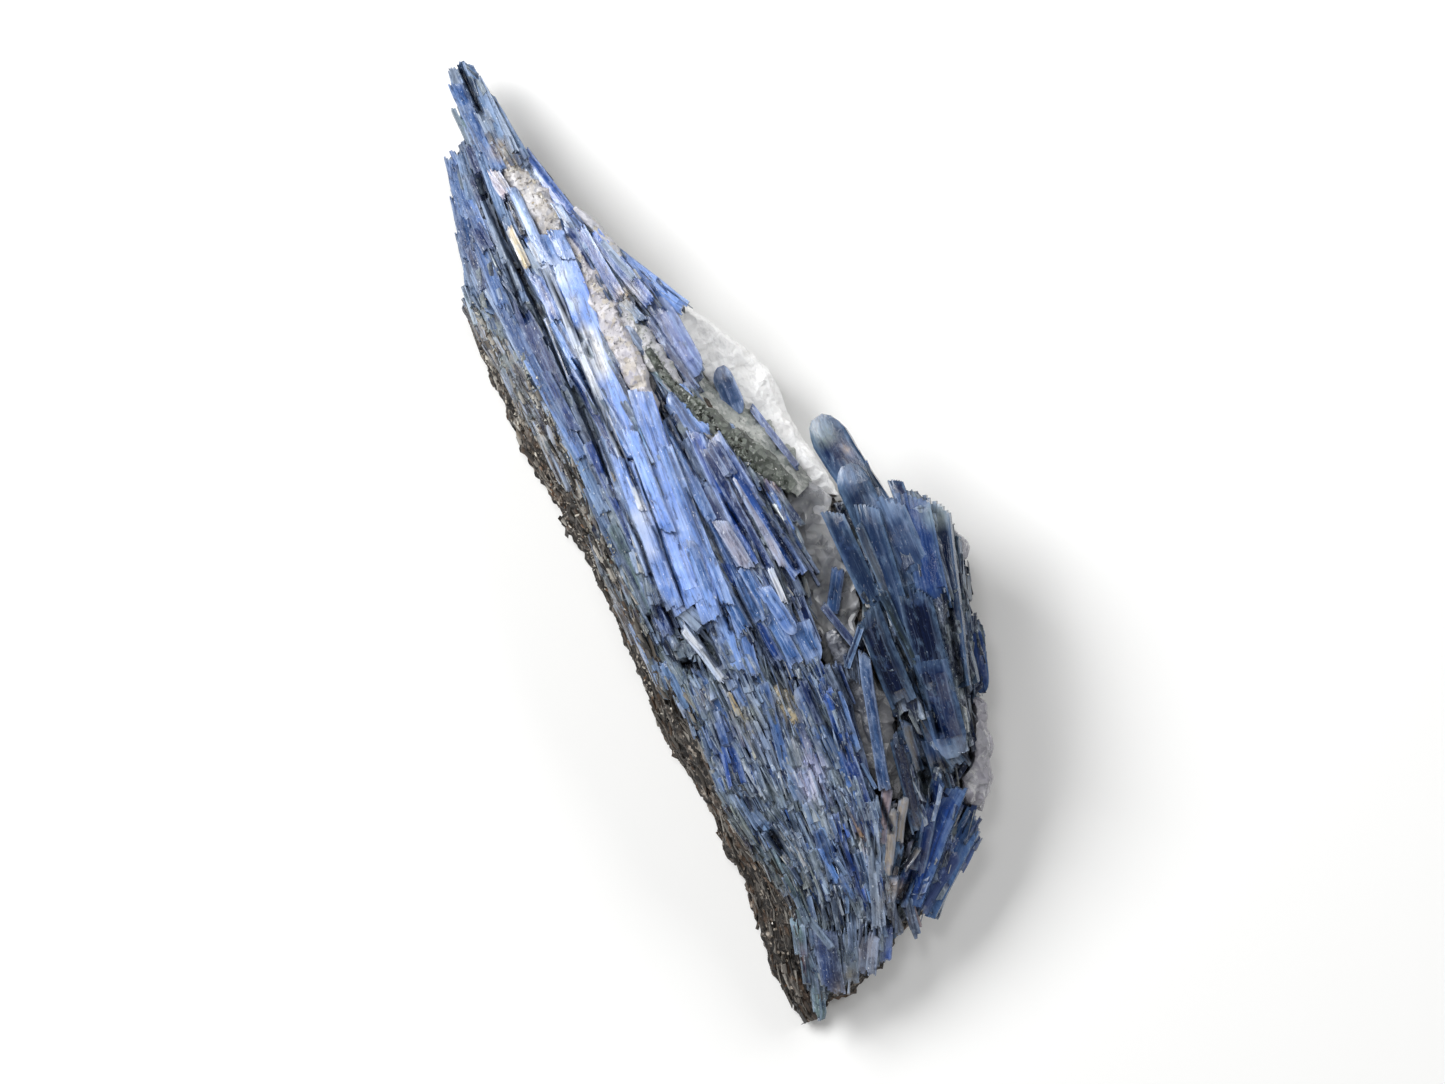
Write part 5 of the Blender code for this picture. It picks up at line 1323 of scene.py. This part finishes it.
# Thin blades that crowd the spaces between the large ones
crowd = {
    "main": 5200, "fan": 140, "depth": 1.1, "onBlades": 0.22, "fineFrom": 668.0, "elsewhere": 0.22,
    "blocksFrom": 922.0, "blocks": 0.72, "brightness": 0.30, "clump": 1.8, "clumpSize": (7.0, 4.0),
    "tones": (("#93A5BC", 0.20), ("#CDD3DA", 0.10), ("#162C52", 0.16), ("#3C5E9A", 0.12)),
    "patchSize": 9.0, "patchGrey": "#98A7B8",
    # forms, length, width, how far under the crown, and the spreads of direction
    "fine": (splinters, (2.0, 8.5), (0.6, 2.3), (-0.1, 0.9), (3.6, 3.2, 8.0)),
    "coarse": (fibres, (3.0, 9.0), (0.40, 1.3), (1.0, 2.3), (4.0, 3.0, 14.0)),
}
# A thin blade ends at a crack wider than this
openCrack = {"half": 4.2, "samples": 9, "shortest": 0.8}


def crowdOf(node, count, seed):
    rng = random.Random(seed)
    copies = []
    places = scattered(trianglesOf(node), count * 6, seed)
    for p, n, g, tint, gap, relief, lift, inside, pixelY in seeded(*places, sprays[node], 2.5):
        fine = node == "kyanite_main_spray" and pixelY > crowd["fineFrom"]
        if n[2] < 0.2 or (gap < -0.1 and (not fine or rng.random() > crowd["onBlades"])):
            continue
        if not fine and rng.random() > crowd["elsewhere"]:
            continue
        if pixelY > crowd["blocksFrom"] and rng.random() < crowd["blocks"]:
            continue
        forms, lengths, widths, below, spreads = crowd["fine" if fine else "coarse"]
        crown = relief + lift
        clump = noiseAt((p[0], p[1], 0.0), *crowd["clumpSize"], 1.0)
        lowered = crown - rng.uniform(*below) + crowd["clump"] * min(0.3, clump) * (1.0 if fine else 0.0)
        height = max(p[2] + 0.1, lowered)
        if not fine and height > crown - 0.5:
            continue
        axis = Vector(g).normalized()
        axis, up = leaning(axis, (upwards - axis * axis.z).normalized(), rng, *spreads)
        length = rng.uniform(*lengths)
        width = between(widths, rng.random() ** 1.3)
        start = Vector((p[0], p[1], height)) - axis * length / 2
        if isNear(schistTree, start, 0.5):
            continue
        grey = min(1.0, max(0.0, 0.5 + 1.6 * noise.noise(Vector(p) / crowd["patchSize"])))
        tint = np.array(tint) * (1 - 0.7 * grey) + np.array(linear(crowd["patchGrey"])) * 0.7 * grey
        draw = rng.random()
        for hexCode, chance in crowd["tones"]:
            if 0 <= draw < chance:
                tint = linear(hexCode)
            draw -= chance
        tint = edgeTint(inside, tint, rng)
        copies.append(thinBlade(
            rng.choice(forms), start, axis, up, length, width, crowd["depth"],
            shade(tint, rng, crowd["brightness"]), width * 0.7, rng.uniform(0, 400)))
        if len(copies) == count:
            break
    return copies


def brokenShort(copies):
    # a thin blade ends where it would cross an open crack or stick out past the specimen's edge
    samples = np.linspace(0, 1, openCrack["samples"])
    starts = np.array([c["start"] for c in copies])
    runs = np.array([c["axis"] * c["length"] for c in copies])
    spots = pixelsOf((starts[:, None] + runs[:, None] * samples[None, :, None]).reshape(-1, 3))
    shut = np.ones(len(spots), bool)
    for line, half, _ in cracks:
        if half > openCrack["half"]:
            shut &= pathDistance(spots, line) > half
    kept = []
    for c, left in zip(copies, shut.reshape(-1, len(samples))):
        for end, k in ((0.0, 0), (1.0, -1)):
            spot = Vector(c["start"]) + c["axis"] * c["length"] * end
            spot.z = 60.0
            if all(tree.ray_cast(spot, -upwards)[0] is None for tree in (mainTree, schistTree)):
                left[k] = False
        # the longest part that is left
        best, first = (0, 0), 0
        for k in range(len(left) + 1):
            if k == len(left) or not left[k]:
                if k - first > best[1] - best[0]:
                    best = (first, k)
                first = k + 1
        low, high = samples[best[0]], samples[max(best[0], best[1] - 1)]
        if (high - low) * c["length"] > openCrack["shortest"]:
            c["start"] = Vector(c["start"]) + c["axis"] * c["length"] * low
            c["length"] *= high - low
            kept.append(c)
    return kept


joinedCopies("kyanite_main_crowd", brokenShort(crowdOf("kyanite_main_spray", crowd["main"], 51)), "fibre")
joinedCopies("kyanite_fan_crowd", crowdOf("kyanite_right_fan", crowd["fan"], 52), "fan")


# Crystals that lie alone on the quartz, in the space that their nodes hold
def loneCrystal(name, row, slotName, seed):
    node = "kyanite_" + name
    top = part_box(node)[1].z / toMetres - 0.15
    start, end = planOf(*row[:2]), planOf(*row[2:4])
    tree = treeOf(node)
    heights = []
    for near, far in ((start, end), (end, start)):
        spot = near.lerp(far, 0.2)
        hit = tree.ray_cast(Vector((spot.x, spot.y, top + 5.0)), -upwards)[0]
        heights.append(hit.z if hit else top)
    whole = row[:5] + (*heights,) + row[5:]
    strips = stripsOf(whole, random.Random(seed), (0.8, 3.0), surface=lambda x, y: 0.0)
    joinedCopies(name, strips, "blade", slotName, [node], warp=0.05)


loneCrystal("shoulder_crystal", (716, 364, 738, 412, 18, "dusk", {"tips": (0.35, 0.4), "split": (3, 4)}),
            "blue_kyanite", 71)
loneCrystal("shoulder_needle", (750, 405, 800, 470, 6, "violet"), "pale_kyanite", 72)
loneCrystal("hollow_crystal", (838, 567, 832, 614, 12, "mid", {"tips": blunt}), "blue_kyanite", 73)

# Schist slab: layers a millimetre or so thick stand out on its broken walls
slab = {
    # how far each kind of unevenness stands out, and its size along the three axes
    "voxel": 0.62, "waves": ((1.0, (5, 1.6, 1.2)), (0.9, (4, 4, 4)), (0.8, (1.6, 0.8, 0.7))), "foot": 1.2,
}


def schistSlab():
    body = copyOfNode("schist_matrix", "schist_slab", slab["voxel"])
    points = pointsOf(body.data)
    normals = normalsOf(body.data)
    moves = np.array([sum(amount * noiseAt(p, *size) for amount, size in slab["waves"]) for p in points])
    moves = moves * (0.45 + 0.55 * (1 - np.abs(normals[:, 2]))) - 0.15
    moves *= np.clip(points[:, 2] / slab["foot"], 0, 1)      # the foot stays flat
    points = points + normals * moves[:, None]
    points[points[:, 2] < 0.35, 2] = 0.0
    setPoints(body.data, keptInBox(points))
    dressed(body, materials["schist"], "mica_schist", ["schist_matrix"])


schistSlab()

# Along the wall the schist is split into woody fibres
wood = {
    "count": 4400, "beyond": 3.0, "length": (1.2, 5.5), "width": (0.14, 0.62), "spreads": (8.0, 6.0, 35.0),
    "depth": 0.8, "lift": (-0.15, 0.4), "brightness": 0.22, "paleAbove": 455.0,
    "tints": ("#1A1715", "#2A2623", "#3F3A35", "#5A544D", "#77716A", "#8D8881", "#A29D95", "#5C4A3C",
              "#332C27"),
    "paleTints": ("#2A2623", "#6E675F", "#8F8B84", "#A9A59C", "#C0BBB0", "#9C968C", "#85796A", "#B4B2AC"),
}


def woodySplinters(seed):
    rng = random.Random(seed)
    places, normals = scattered(trianglesOf("schist_matrix", "kyanite_main_spray"), 12 * wood["count"], seed)
    close = (insideEdge(places) < wood["beyond"]) & (normals[:, 2] > -0.2) & (places[:, 2] > 1.0)
    copies = []
    for p, n, g, *_, pixelY in seeded(places[close], normals[close], sprays["kyanite_main_spray"], 6.0):
        along = Vector(g - n * (g @ n))
        if along.length < 0.5:
            continue
        axis, up = leaning(along.normalized(), Vector(n), rng, *wood["spreads"])
        length = rng.uniform(*wood["length"])
        width = rng.uniform(*wood["width"])
        high = pixelY < wood["paleAbove"]
        if high:
            length, width = 0.5 * length, 0.7 * width
        form = rng.choice(splinters)
        start = Vector(p) + up * rng.uniform(*wood["lift"]) - axis * length / 2
        tint = linear(rng.choice(wood["paleTints" if high else "tints"]))
        tint = shade(tint, rng, wood["brightness"])
        copies.append(thinBlade(form, start, axis, up, length, width, wood["depth"], tint, width, 0.0))
        if len(copies) == wood["count"]:
            break
    joinedCopies("woody_splinters", copies, "woody", "mica_schist", warp=0.3)


woodySplinters(82)

flake = {
    "count": 3400, "size": (0.2, 0.65), "tilt": 20.0, "upright": 0.35,
    "tints": ("#14110F", "#211C18", "#2E2721", "#3E352D", "#5A5047", "#7A7065", "#A59C90", "#5E4430"),
}


def placedGrains(name, copies, look, slotName):
    points, tints = [], []
    for form, place, axis, up, size, tint in copies:
        basis = np.array([axis, up.cross(axis), up])
        points.append(form["points"] @ basis * size + np.array(place))
        tints.append(np.tile(tint, (len(form["points"]), 1)))
    body = newPiece(name, keptInBox(np.vstack(points)), [c[0] for c in copies], np.vstack(tints))
    dressed(body, materials[look], slotName)


def micaFlakes(seed):
    rng = random.Random(seed)
    copies = []
    for p, n in zip(*scattered(trianglesOf("schist_matrix"), flake["count"] * 2, seed)):
        if n[2] < -0.5 or p[2] < 0.6 or isNear(mainTree, p, 0.9):
            continue
        up = (Vector(n) * (1 - flake["upright"]) + upwards * flake["upright"]).normalized()
        up = (up + Vector([rng.gauss(0, 1) for _ in range(3)]) * math.radians(flake["tilt"])).normalized()
        axis = Matrix.Rotation(rng.uniform(0, 6.28), 3, up) @ up.orthogonal().normalized()
        size = rng.uniform(*flake["size"])
        form = rng.choice(flakes)
        copies.append((form, Vector(p), axis, up, size, linear(rng.choice(flake["tints"]))))
        if len(copies) == flake["count"]:
            break
    placedGrains("mica_flakes", copies, "mica", "mica_schist")


micaFlakes(81)

# Veins of granular quartz between the blades: pixel, half width in pixels and height over the dome along each
veins = {
    "strip_quartz": {
        "path": ((560, 230, 6, 1.7), (572, 250, 10, 1.8), (588, 278, 12, 1.8), (603, 308, 13, 1.7),
                 (622, 345, 13, 1.5), (638, 380, 12, 1.3), (650, 412, 10, 1.1), (662, 444, 5, 0.6)),
        "depth": 3, "tints": ("#CFCCD0", "#A9A7B2", "#BDB5A8"),
    },
    "seam_quartz": {
        "path": ((494, 138, 5, 2), (506, 158, 12, 2), (518, 176, 14, 1.6), (532, 196, 16, 1.4),
                 (546, 216, 17, 1.4), (558, 236, 12, 1.2)),
        "depth": 4, "tints": ("#CFCDCF", "#A8A29C", "#96979F"),
    },
    "lobe_quartz": {
        "path": ((604, 300, 5, 0.9), (618, 314, 11, 0.7), (640, 338, 13, 0.2), (660, 366, 11, 0.2),
                 (684, 396, 8, 0.3), (706, 426, 7, 0.6), (720, 448, 4, 0.6)),
        "depth": 4, "tints": ("#C4C3C8", "#9D9FA6", "#B2B4AE"),
    },
    "edge_quartz": {
        "path": ((574, 208, 3, 1.2), (590, 222, 5, 1.3), (606, 240, 6, 1.2), (620, 258, 4, 1)),
        "depth": 2.5, "tints": ("#BDBDC4", "#9699A4", "#A8A294"),
    },
    "rim_quartz": {
        "path": ((690, 372, 7, -2), (706, 392, 14, -2.4), (730, 416, 19, -2.8), (756, 440, 21, -3.2),
                 (782, 464, 18, -3.6), (806, 488, 12, -4)), "slope": 8.5,
        "depth": 14, "tints": ("#B4B7B2", "#858C87", "#C9CAC6"),
    },
    "mica_streak": {
        "path": ((648, 350, 4, 1), (664, 376, 5, 1.2), (682, 394, 6, 1.5), (702, 413, 9, 1.7),
                 (726, 435, 12, 1.5), (750, 455, 14, 1), (773, 472, 13, 0.3), (792, 490, 7, -0.8)),
        "depth": 8, "tints": ("#555B54", "#30352F", "#7C827B"), "slot": "mica_schist",
    },
    "neck_quartz": {
        "path": ((830, 630, 7, -1.4), (842, 654, 11, -1), (855, 682, 12, -0.8), (866, 712, 9, -0.8),
                 (874, 740, 6, -0.8)),
        "depth": 8, "tints": ("#6A6D76", "#4A4E58", "#85888F"),
    },
    "tan_patch": {
        "path": ((776, 684, 4, 0.6), (784, 698, 9, 0.7), (794, 716, 9, 0.7), (804, 734, 5, 0.6)),
        "depth": 2, "tints": ("#A99C80", "#8A8270", "#B8B0A0"),
    },
}
veinShape = {"step": 0.45, "rows": 12, "wavers": ((3.0, 0.40), (1.1, 0.30)),
             "rough": ((2.4, 0.9), (0.9, 0.35)), "swell": 0.8, "swellSize": 5.0, "rounding": 1.1,
             "kept": 0.7}


def veinMaterial(name, tints):
    material, tree, place = newMaterial(name, {"Metallic": 0.0, "Roughness": 0.35, "IOR": 1.544})
    grain = addNode(tree, "ShaderNodeTexVoronoi", Vector=place, Scale=1100.0)
    pale = addNode(tree, "ShaderNodeSeparateColor", Color=grain.outputs["Color"]).outputs[0]
    cloud = noiseNode(tree, place, inMm, 0.45, 4.0)
    veil = noiseNode(tree, place, inMm, 1.3, 5.0, 0.65)
    colour = mixNode(tree, spanNode(tree, cloud, 0.40, 0.62), tints[0], tints[1])
    colour = layered(tree, colour, (pale, 0.55, 0.9, 0.8, tints[2]), (veil, 0.44, 0.34, 0.75, "#4A4A50"),
                     (veil, 0.60, 0.70, 0.7, "#F2F1F0"))
    return finished(material, colour, ((veil, 0.6, 0.35), (grain.outputs["Distance"], 0.4, 0.25)))


def veinRibbon(name, vein):
    path = np.array(vein["path"], float)
    places = np.array([planOf(x, y) for x, y in path[:, :2]])
    reach = np.concatenate([[0.0], np.cumsum(np.linalg.norm(np.diff(places, axis=0), axis=1))])
    deselect()
    bpy.ops.mesh.primitive_grid_add(x_subdivisions=int(reach[-1] / veinShape["step"]), size=1.0,
                                    y_subdivisions=veinShape["rows"])
    body = openMesh()
    body.name = name
    pickAll()
    pull(0.0, 0.0, -1.0)
    pickAll()
    bpy.ops.mesh.normals_make_consistent(inside=False)
    closeMesh()
    flat = pointsOf(body.data) * toMetres
    along = (flat[:, 0] + 0.5) * reach[-1]
    across = flat[:, 1] * 2

    def laidAt(distances):
        return np.stack([np.interp(distances, reach, places[:, k]) for k in (0, 1)], 1)

    ahead = laidAt(along + 0.5) - laidAt(along - 0.5)
    ahead /= np.linalg.norm(ahead, axis=1)[:, None]
    half = np.interp(along, reach, path[:, 2]) * mmPerPixel
    half = half * np.array([1 + sum(amount * noise.noise(Vector((a / size, np.sign(s) * 3.0, 0)))
                                    for size, amount in veinShape["wavers"]) for a, s in zip(along, across)])
    spot = laidAt(along) + np.stack([ahead[:, 1], -ahead[:, 0]], 1) * (across * half)[:, None]
    height = reliefOf(spot) + np.interp(along, reach, path[:, 3])
    lumps = np.array([
        sum(amount * abs(noise.noise(Vector((x, y, 0)) / size)) for size, amount in veinShape["rough"])
        + veinShape["swell"] * noise.noise(Vector((x, y, 5)) / veinShape["swellSize"]) for x, y in spot])
    height = height - lumps - veinShape["rounding"] * across ** 4 - vein.get("slope", 0.0) * (1 - across) / 2
    height = np.maximum(np.where(flat[:, 2] < -0.5, height - vein["depth"], height), 0.5)
    setPoints(body.data, keptInBox(np.column_stack([spot, height])))
    broken(body, veinShape["kept"])
    slotName = vein.get("slot", "grey_quartz")
    look = "mica streak, fine grained" if slotName == "mica_schist" else "granular vein quartz"
    smoothed(dressed(body, veinMaterial(look + ", " + name, vein["tints"]), slotName), 18)


for name, vein in veins.items():
    veinRibbon(name, vein)

# Bands of grains: each follows a line of pixels, and raise is how far they stand up towards the blades' tops
bandDefaults = {"size": (0.25, 0.8), "raise": (0.0, 0.0), "slot": "grey_quartz", "material": "crumb"}
grainBands = {
    "wall_grains": {
        "line": ((464, 312), (478, 342), (496, 376), (512, 404), (530, 434), (548, 472), (566, 502),
                 (588, 545), (606, 578), (622, 612), (640, 650), (652, 690), (672, 718)),
        "halfWidth": 2.4, "count": 700, "size": (0.2, 0.7), "raise": (0, 0.25), "slot": "mica_schist",
        "tints": ("#2A2520", "#453D36", "#5E554C", "#7A7065", "#A79D90", "#C4BCAE", "#D8D2C6", "#7A5B40"),
        "nodes": ("kyanite_main_spray", "schist_matrix"),
    },
    "margin_grains": {
        "line": ((474, 305), (496, 340), (520, 372), (540, 402), (556, 432), (575, 472), (600, 530),
                 (622, 575)),
        "halfWidth": 2.6, "count": 1300, "size": (0.2, 0.6), "raise": (0, 0.6), "slot": "mica_schist",
        "tints": ("#C2C3BC", "#9FA5A0", "#8A9290", "#6D7678", "#B2B8BC", "#7B7264", "#D8D5CA"),
        "nodes": ("kyanite_main_spray", "schist_matrix"),
    },
    "strip_grains": {
        "line": ((568, 240), (586, 276), (602, 308), (622, 345), (638, 380), (650, 410), (660, 440)),
        "halfWidth": 1.5, "count": 170, "on": "strip_quartz",
        "tints": ("#C9C7CC", "#B3B1B8", "#A4A3AC", "#DAD8DA", "#CFC9BC", "#96959E"),
        "nodes": ("kyanite_main_spray", "quartz_seam_upper"),
    },
    "seam_grains": {
        "line": ((504, 148), (514, 170), (528, 190), (545, 212), (556, 232)),
        "halfWidth": 2, "count": 200, "on": "seam_quartz",
        "tints": ("#C6C0B6", "#B1A48E", "#A39F9C", "#D8D4CC", "#BFB7A8", "#8F8C8C"),
        "nodes": ("kyanite_main_spray", "quartz_seam_upper"),
    },
    "lobe_grains": {
        "line": ((628, 318), (648, 350), (668, 378), (690, 404), (708, 428)),
        "halfWidth": 1.5, "count": 120, "on": "lobe_quartz",
        "tints": ("#BDBDC0", "#A9AAAE", "#989A9C", "#D2D1D2", "#8B908C"),
        "nodes": ("kyanite_main_spray", "quartz_shoulder"),
    },
    "streak_grains": {
        "line": ((655, 366), (672, 384), (700, 412), (730, 440), (760, 468), (784, 496), (796, 540)),
        "halfWidth": 1.7, "count": 1100, "size": (0.25, 0.9), "on": "mica_streak", "slot": "mica_schist",
        "tints": ("#23271F", "#3A4038", "#4E554C", "#6B716A", "#1B1E1A", "#848A84"),
        "nodes": ("kyanite_main_spray",), "material": "mica",
    },
}


def wayFrom(line, spot):
    found = []
    for a, b in zip(line, line[1:]):
        part = max(0.0, min(1.0, (spot - a).dot(b - a) / (b - a).length_squared))
        found.append((spot - a - (b - a) * part).length)
    return min(found)


def grainBand(name, band, seed):
    rng = random.Random(seed)
    line = [planOf(*pixel) for pixel in band["line"]]
    ribbon = BVHTree.FromObject(bpy.data.objects[band["on"]], bpy.context.evaluated_depsgraph_get()) if (
        "on" in band) else None
    copies = []
    for p, n in zip(*scattered(trianglesOf(*band["nodes"]), 60000, seed)):
        if n[2] < 0.0 or p[2] < 3.0:
            continue
        if ribbon:
            hit = ribbon.ray_cast(Vector((p[0], p[1], 60.0)) * toMetres, -upwards)
            if hit[0] is None:
                continue
            p, n = np.array(hit[0]) / toMetres, np.array(hit[1])
        if wayFrom(line, Vector(p[:2])) > band["halfWidth"] * rng.uniform(0.3, 1.0):
            continue
        p[2] += max(0.0, float(reliefAt(p[0], p[1])) - p[2]) * rng.uniform(*band["raise"])
        up = (Vector(n) + Vector([rng.gauss(0, 0.5) for _ in range(3)])).normalized()
        axis = (Vector((1, 0, 0)) - up * up.x + up.orthogonal() * rng.gauss(0, 0.5)).normalized()
        axis = (axis - up * axis.dot(up)).normalized()
        size = between(band["size"], rng.random() ** 1.4)
        form = rng.choice(crumbs)
        copies.append((form, Vector(p), axis, up, size, linear(rng.choice(band["tints"]))))
        if len(copies) == band["count"]:
            break
    placedGrains(name, copies, band["material"], band["slot"])


for k, (name, band) in enumerate(grainBands.items()):
    grainBand(name, {**bandDefaults, **band}, 91 + k)

# Quartz: how large its breaks are, how far it is set in, and how unequally clear the breaks are
quartz = {"voxel": 0.5, "swell": 0.9, "swellSize": 3.2, "kept": 0.25, "inset": 0.15, "milkInset": 0.6,
          "spread": 0.9}
quartzTints = {
    # tint, how coarse its breaks are, and whether it is milky all through
    "quartz_shoulder": ("#FFFFFF", 0.8, True), "quartz_hollow": ("#E2E4EA", 1.25, False),
    "quartz_pocket": ("#B4B5BA", 1.3, False), "quartz_rim": ("#ABA8B4", 1.1, False),
    "quartz_knob": ("#B6B6C0", 1.0, False), "quartz_seam_upper": ("#D8D2C8", 0.9, True),
    "quartz_seam_lower": ("#A5A4A6", 0.9, False),
}


def quartzBreaks(node, name, hexCode, coarse, look, inset):
    body = copyOfNode(node, name, quartz["voxel"])
    points = pointsOf(body.data)
    size = quartz["swellSize"] * coarse
    swell = np.array([abs(noise.noise(Vector(p) / size)) + 0.5 * abs(noise.noise(Vector(p) / (0.4 * size)))
                      for p in points])
    moves = quartz["swell"] * coarse * (0.25 - swell) - inset
    setPoints(body.data, keptInBox(points + normalsOf(body.data) * moves[:, None]))
    broken(body, min(1.0, quartz["kept"] / coarse ** 2))
    # no two breaks are equally clear
    count = len(body.data.vertices)
    rng = np.random.default_rng(count)
    clearness = 1 + quartz["spread"] * (coarse - 0.7) * rng.uniform(-1, 1, (count, 1))
    setTint(body.data, np.clip(clearness * linear(hexCode), 0, 1))
    return smoothed(dressed(body, materials[look], "grey_quartz"), 8)


for node, (hexCode, coarse, milky) in quartzTints.items():
    # the milky inside is copied first: a node that is replaced can't be edited
    if not milky:
        quartzBreaks(node, node + "_milky_inside", hexCode, coarse, "milk", quartz["milkInset"])
    look = "milk" if milky else "quartz"
    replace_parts(quartzBreaks(node, node + "_broken", hexCode, coarse, look, quartz["inset"]), node)

# Floor, light and camera
studio = {
    "floor": "#F6F6F5", "floorHalf": 3.0, "world": 0.12, "lens": 200.0, "sensor": 36.0, "middleHeight": 20.0,
    "lights": {
        # power, size, lean from overhead in degrees, towards which side of the picture, distance
        "key light": (6.8, 0.40, 45.0, (-0.85, 0.53), 0.8),
        "glint light": (0.8, 0.14, 14.0, (-0.36, 0.93), 0.8),
        "right light": (4.6, 0.70, 52.0, (0.80, 0.60), 1.1),
        "lower light": (2.4, 0.70, 56.0, (0.05, -1.0), 1.1),
    },
}
deselect()
bpy.ops.mesh.primitive_plane_add(size=2 * studio["floorHalf"], location=(0, 0, -0.0002))
floor = bpy.context.object
floor.name = "floor"
bpy.ops.object.transform_apply(location=True, rotation=True, scale=True)
floor.data.materials.append(newMaterial("matt white paper", {
    "Base Color": (*linear(studio["floor"]), 1.0), "Roughness": 0.9, "Specular IOR Level": 0.2,
})[0])


def pictureSide(x, y):
    # the way in plan from the picture's middle to a pixel beside it
    return (planOf(picture["middle"][0] + x, picture["middle"][1] + y) - middle).to_3d().normalized()


middle = planOf(*picture["middle"])
right, upInPicture = pictureSide(1, 0), pictureSide(0, -1)
camera = added("camera", bpy.data.cameras.new("camera"))
camera.data.lens = studio["lens"]
camera.data.sensor_width = studio["sensor"]
distance = picture["pixelsWide"] * mmPerPixel * studio["lens"] / studio["sensor"]
placing = Matrix((right, upInPicture, right.cross(upInPicture))).transposed().to_4x4()
placing.translation = Vector((middle.x, middle.y, studio["middleHeight"] + distance)) * toMetres
camera.matrix_world = placing
camera.data.clip_start = 0.05
camera.data.clip_end = 20.0
bpy.context.scene.camera = camera

for name, (power, size, tilt, towards, far) in studio["lights"].items():
    # a square soft box that leans by tilt from overhead, towards a direction in the picture
    lamp = added(name, bpy.data.lights.new(name, "AREA"))
    lamp.data.size = size
    lamp.data.energy = power
    lean = (right * towards[0] + upInPicture * towards[1]).normalized()
    direction = lean * math.sin(math.radians(tilt)) + upwards * math.cos(math.radians(tilt))
    lamp.location = direction * far
    lamp.rotation_mode = "QUATERNION"
    lamp.rotation_quaternion = direction.to_track_quat("Z", "Y")
world = bpy.data.worlds.new("studio")
bpy.context.scene.world = world
world.use_nodes = True
world.node_tree.nodes["Background"].inputs["Color"].default_value = (1, 1, 1, 1)
world.node_tree.nodes["Background"].inputs["Strength"].default_value = studio["world"]
bpy.context.scene.view_settings.view_transform = "Standard"
print("studio set")
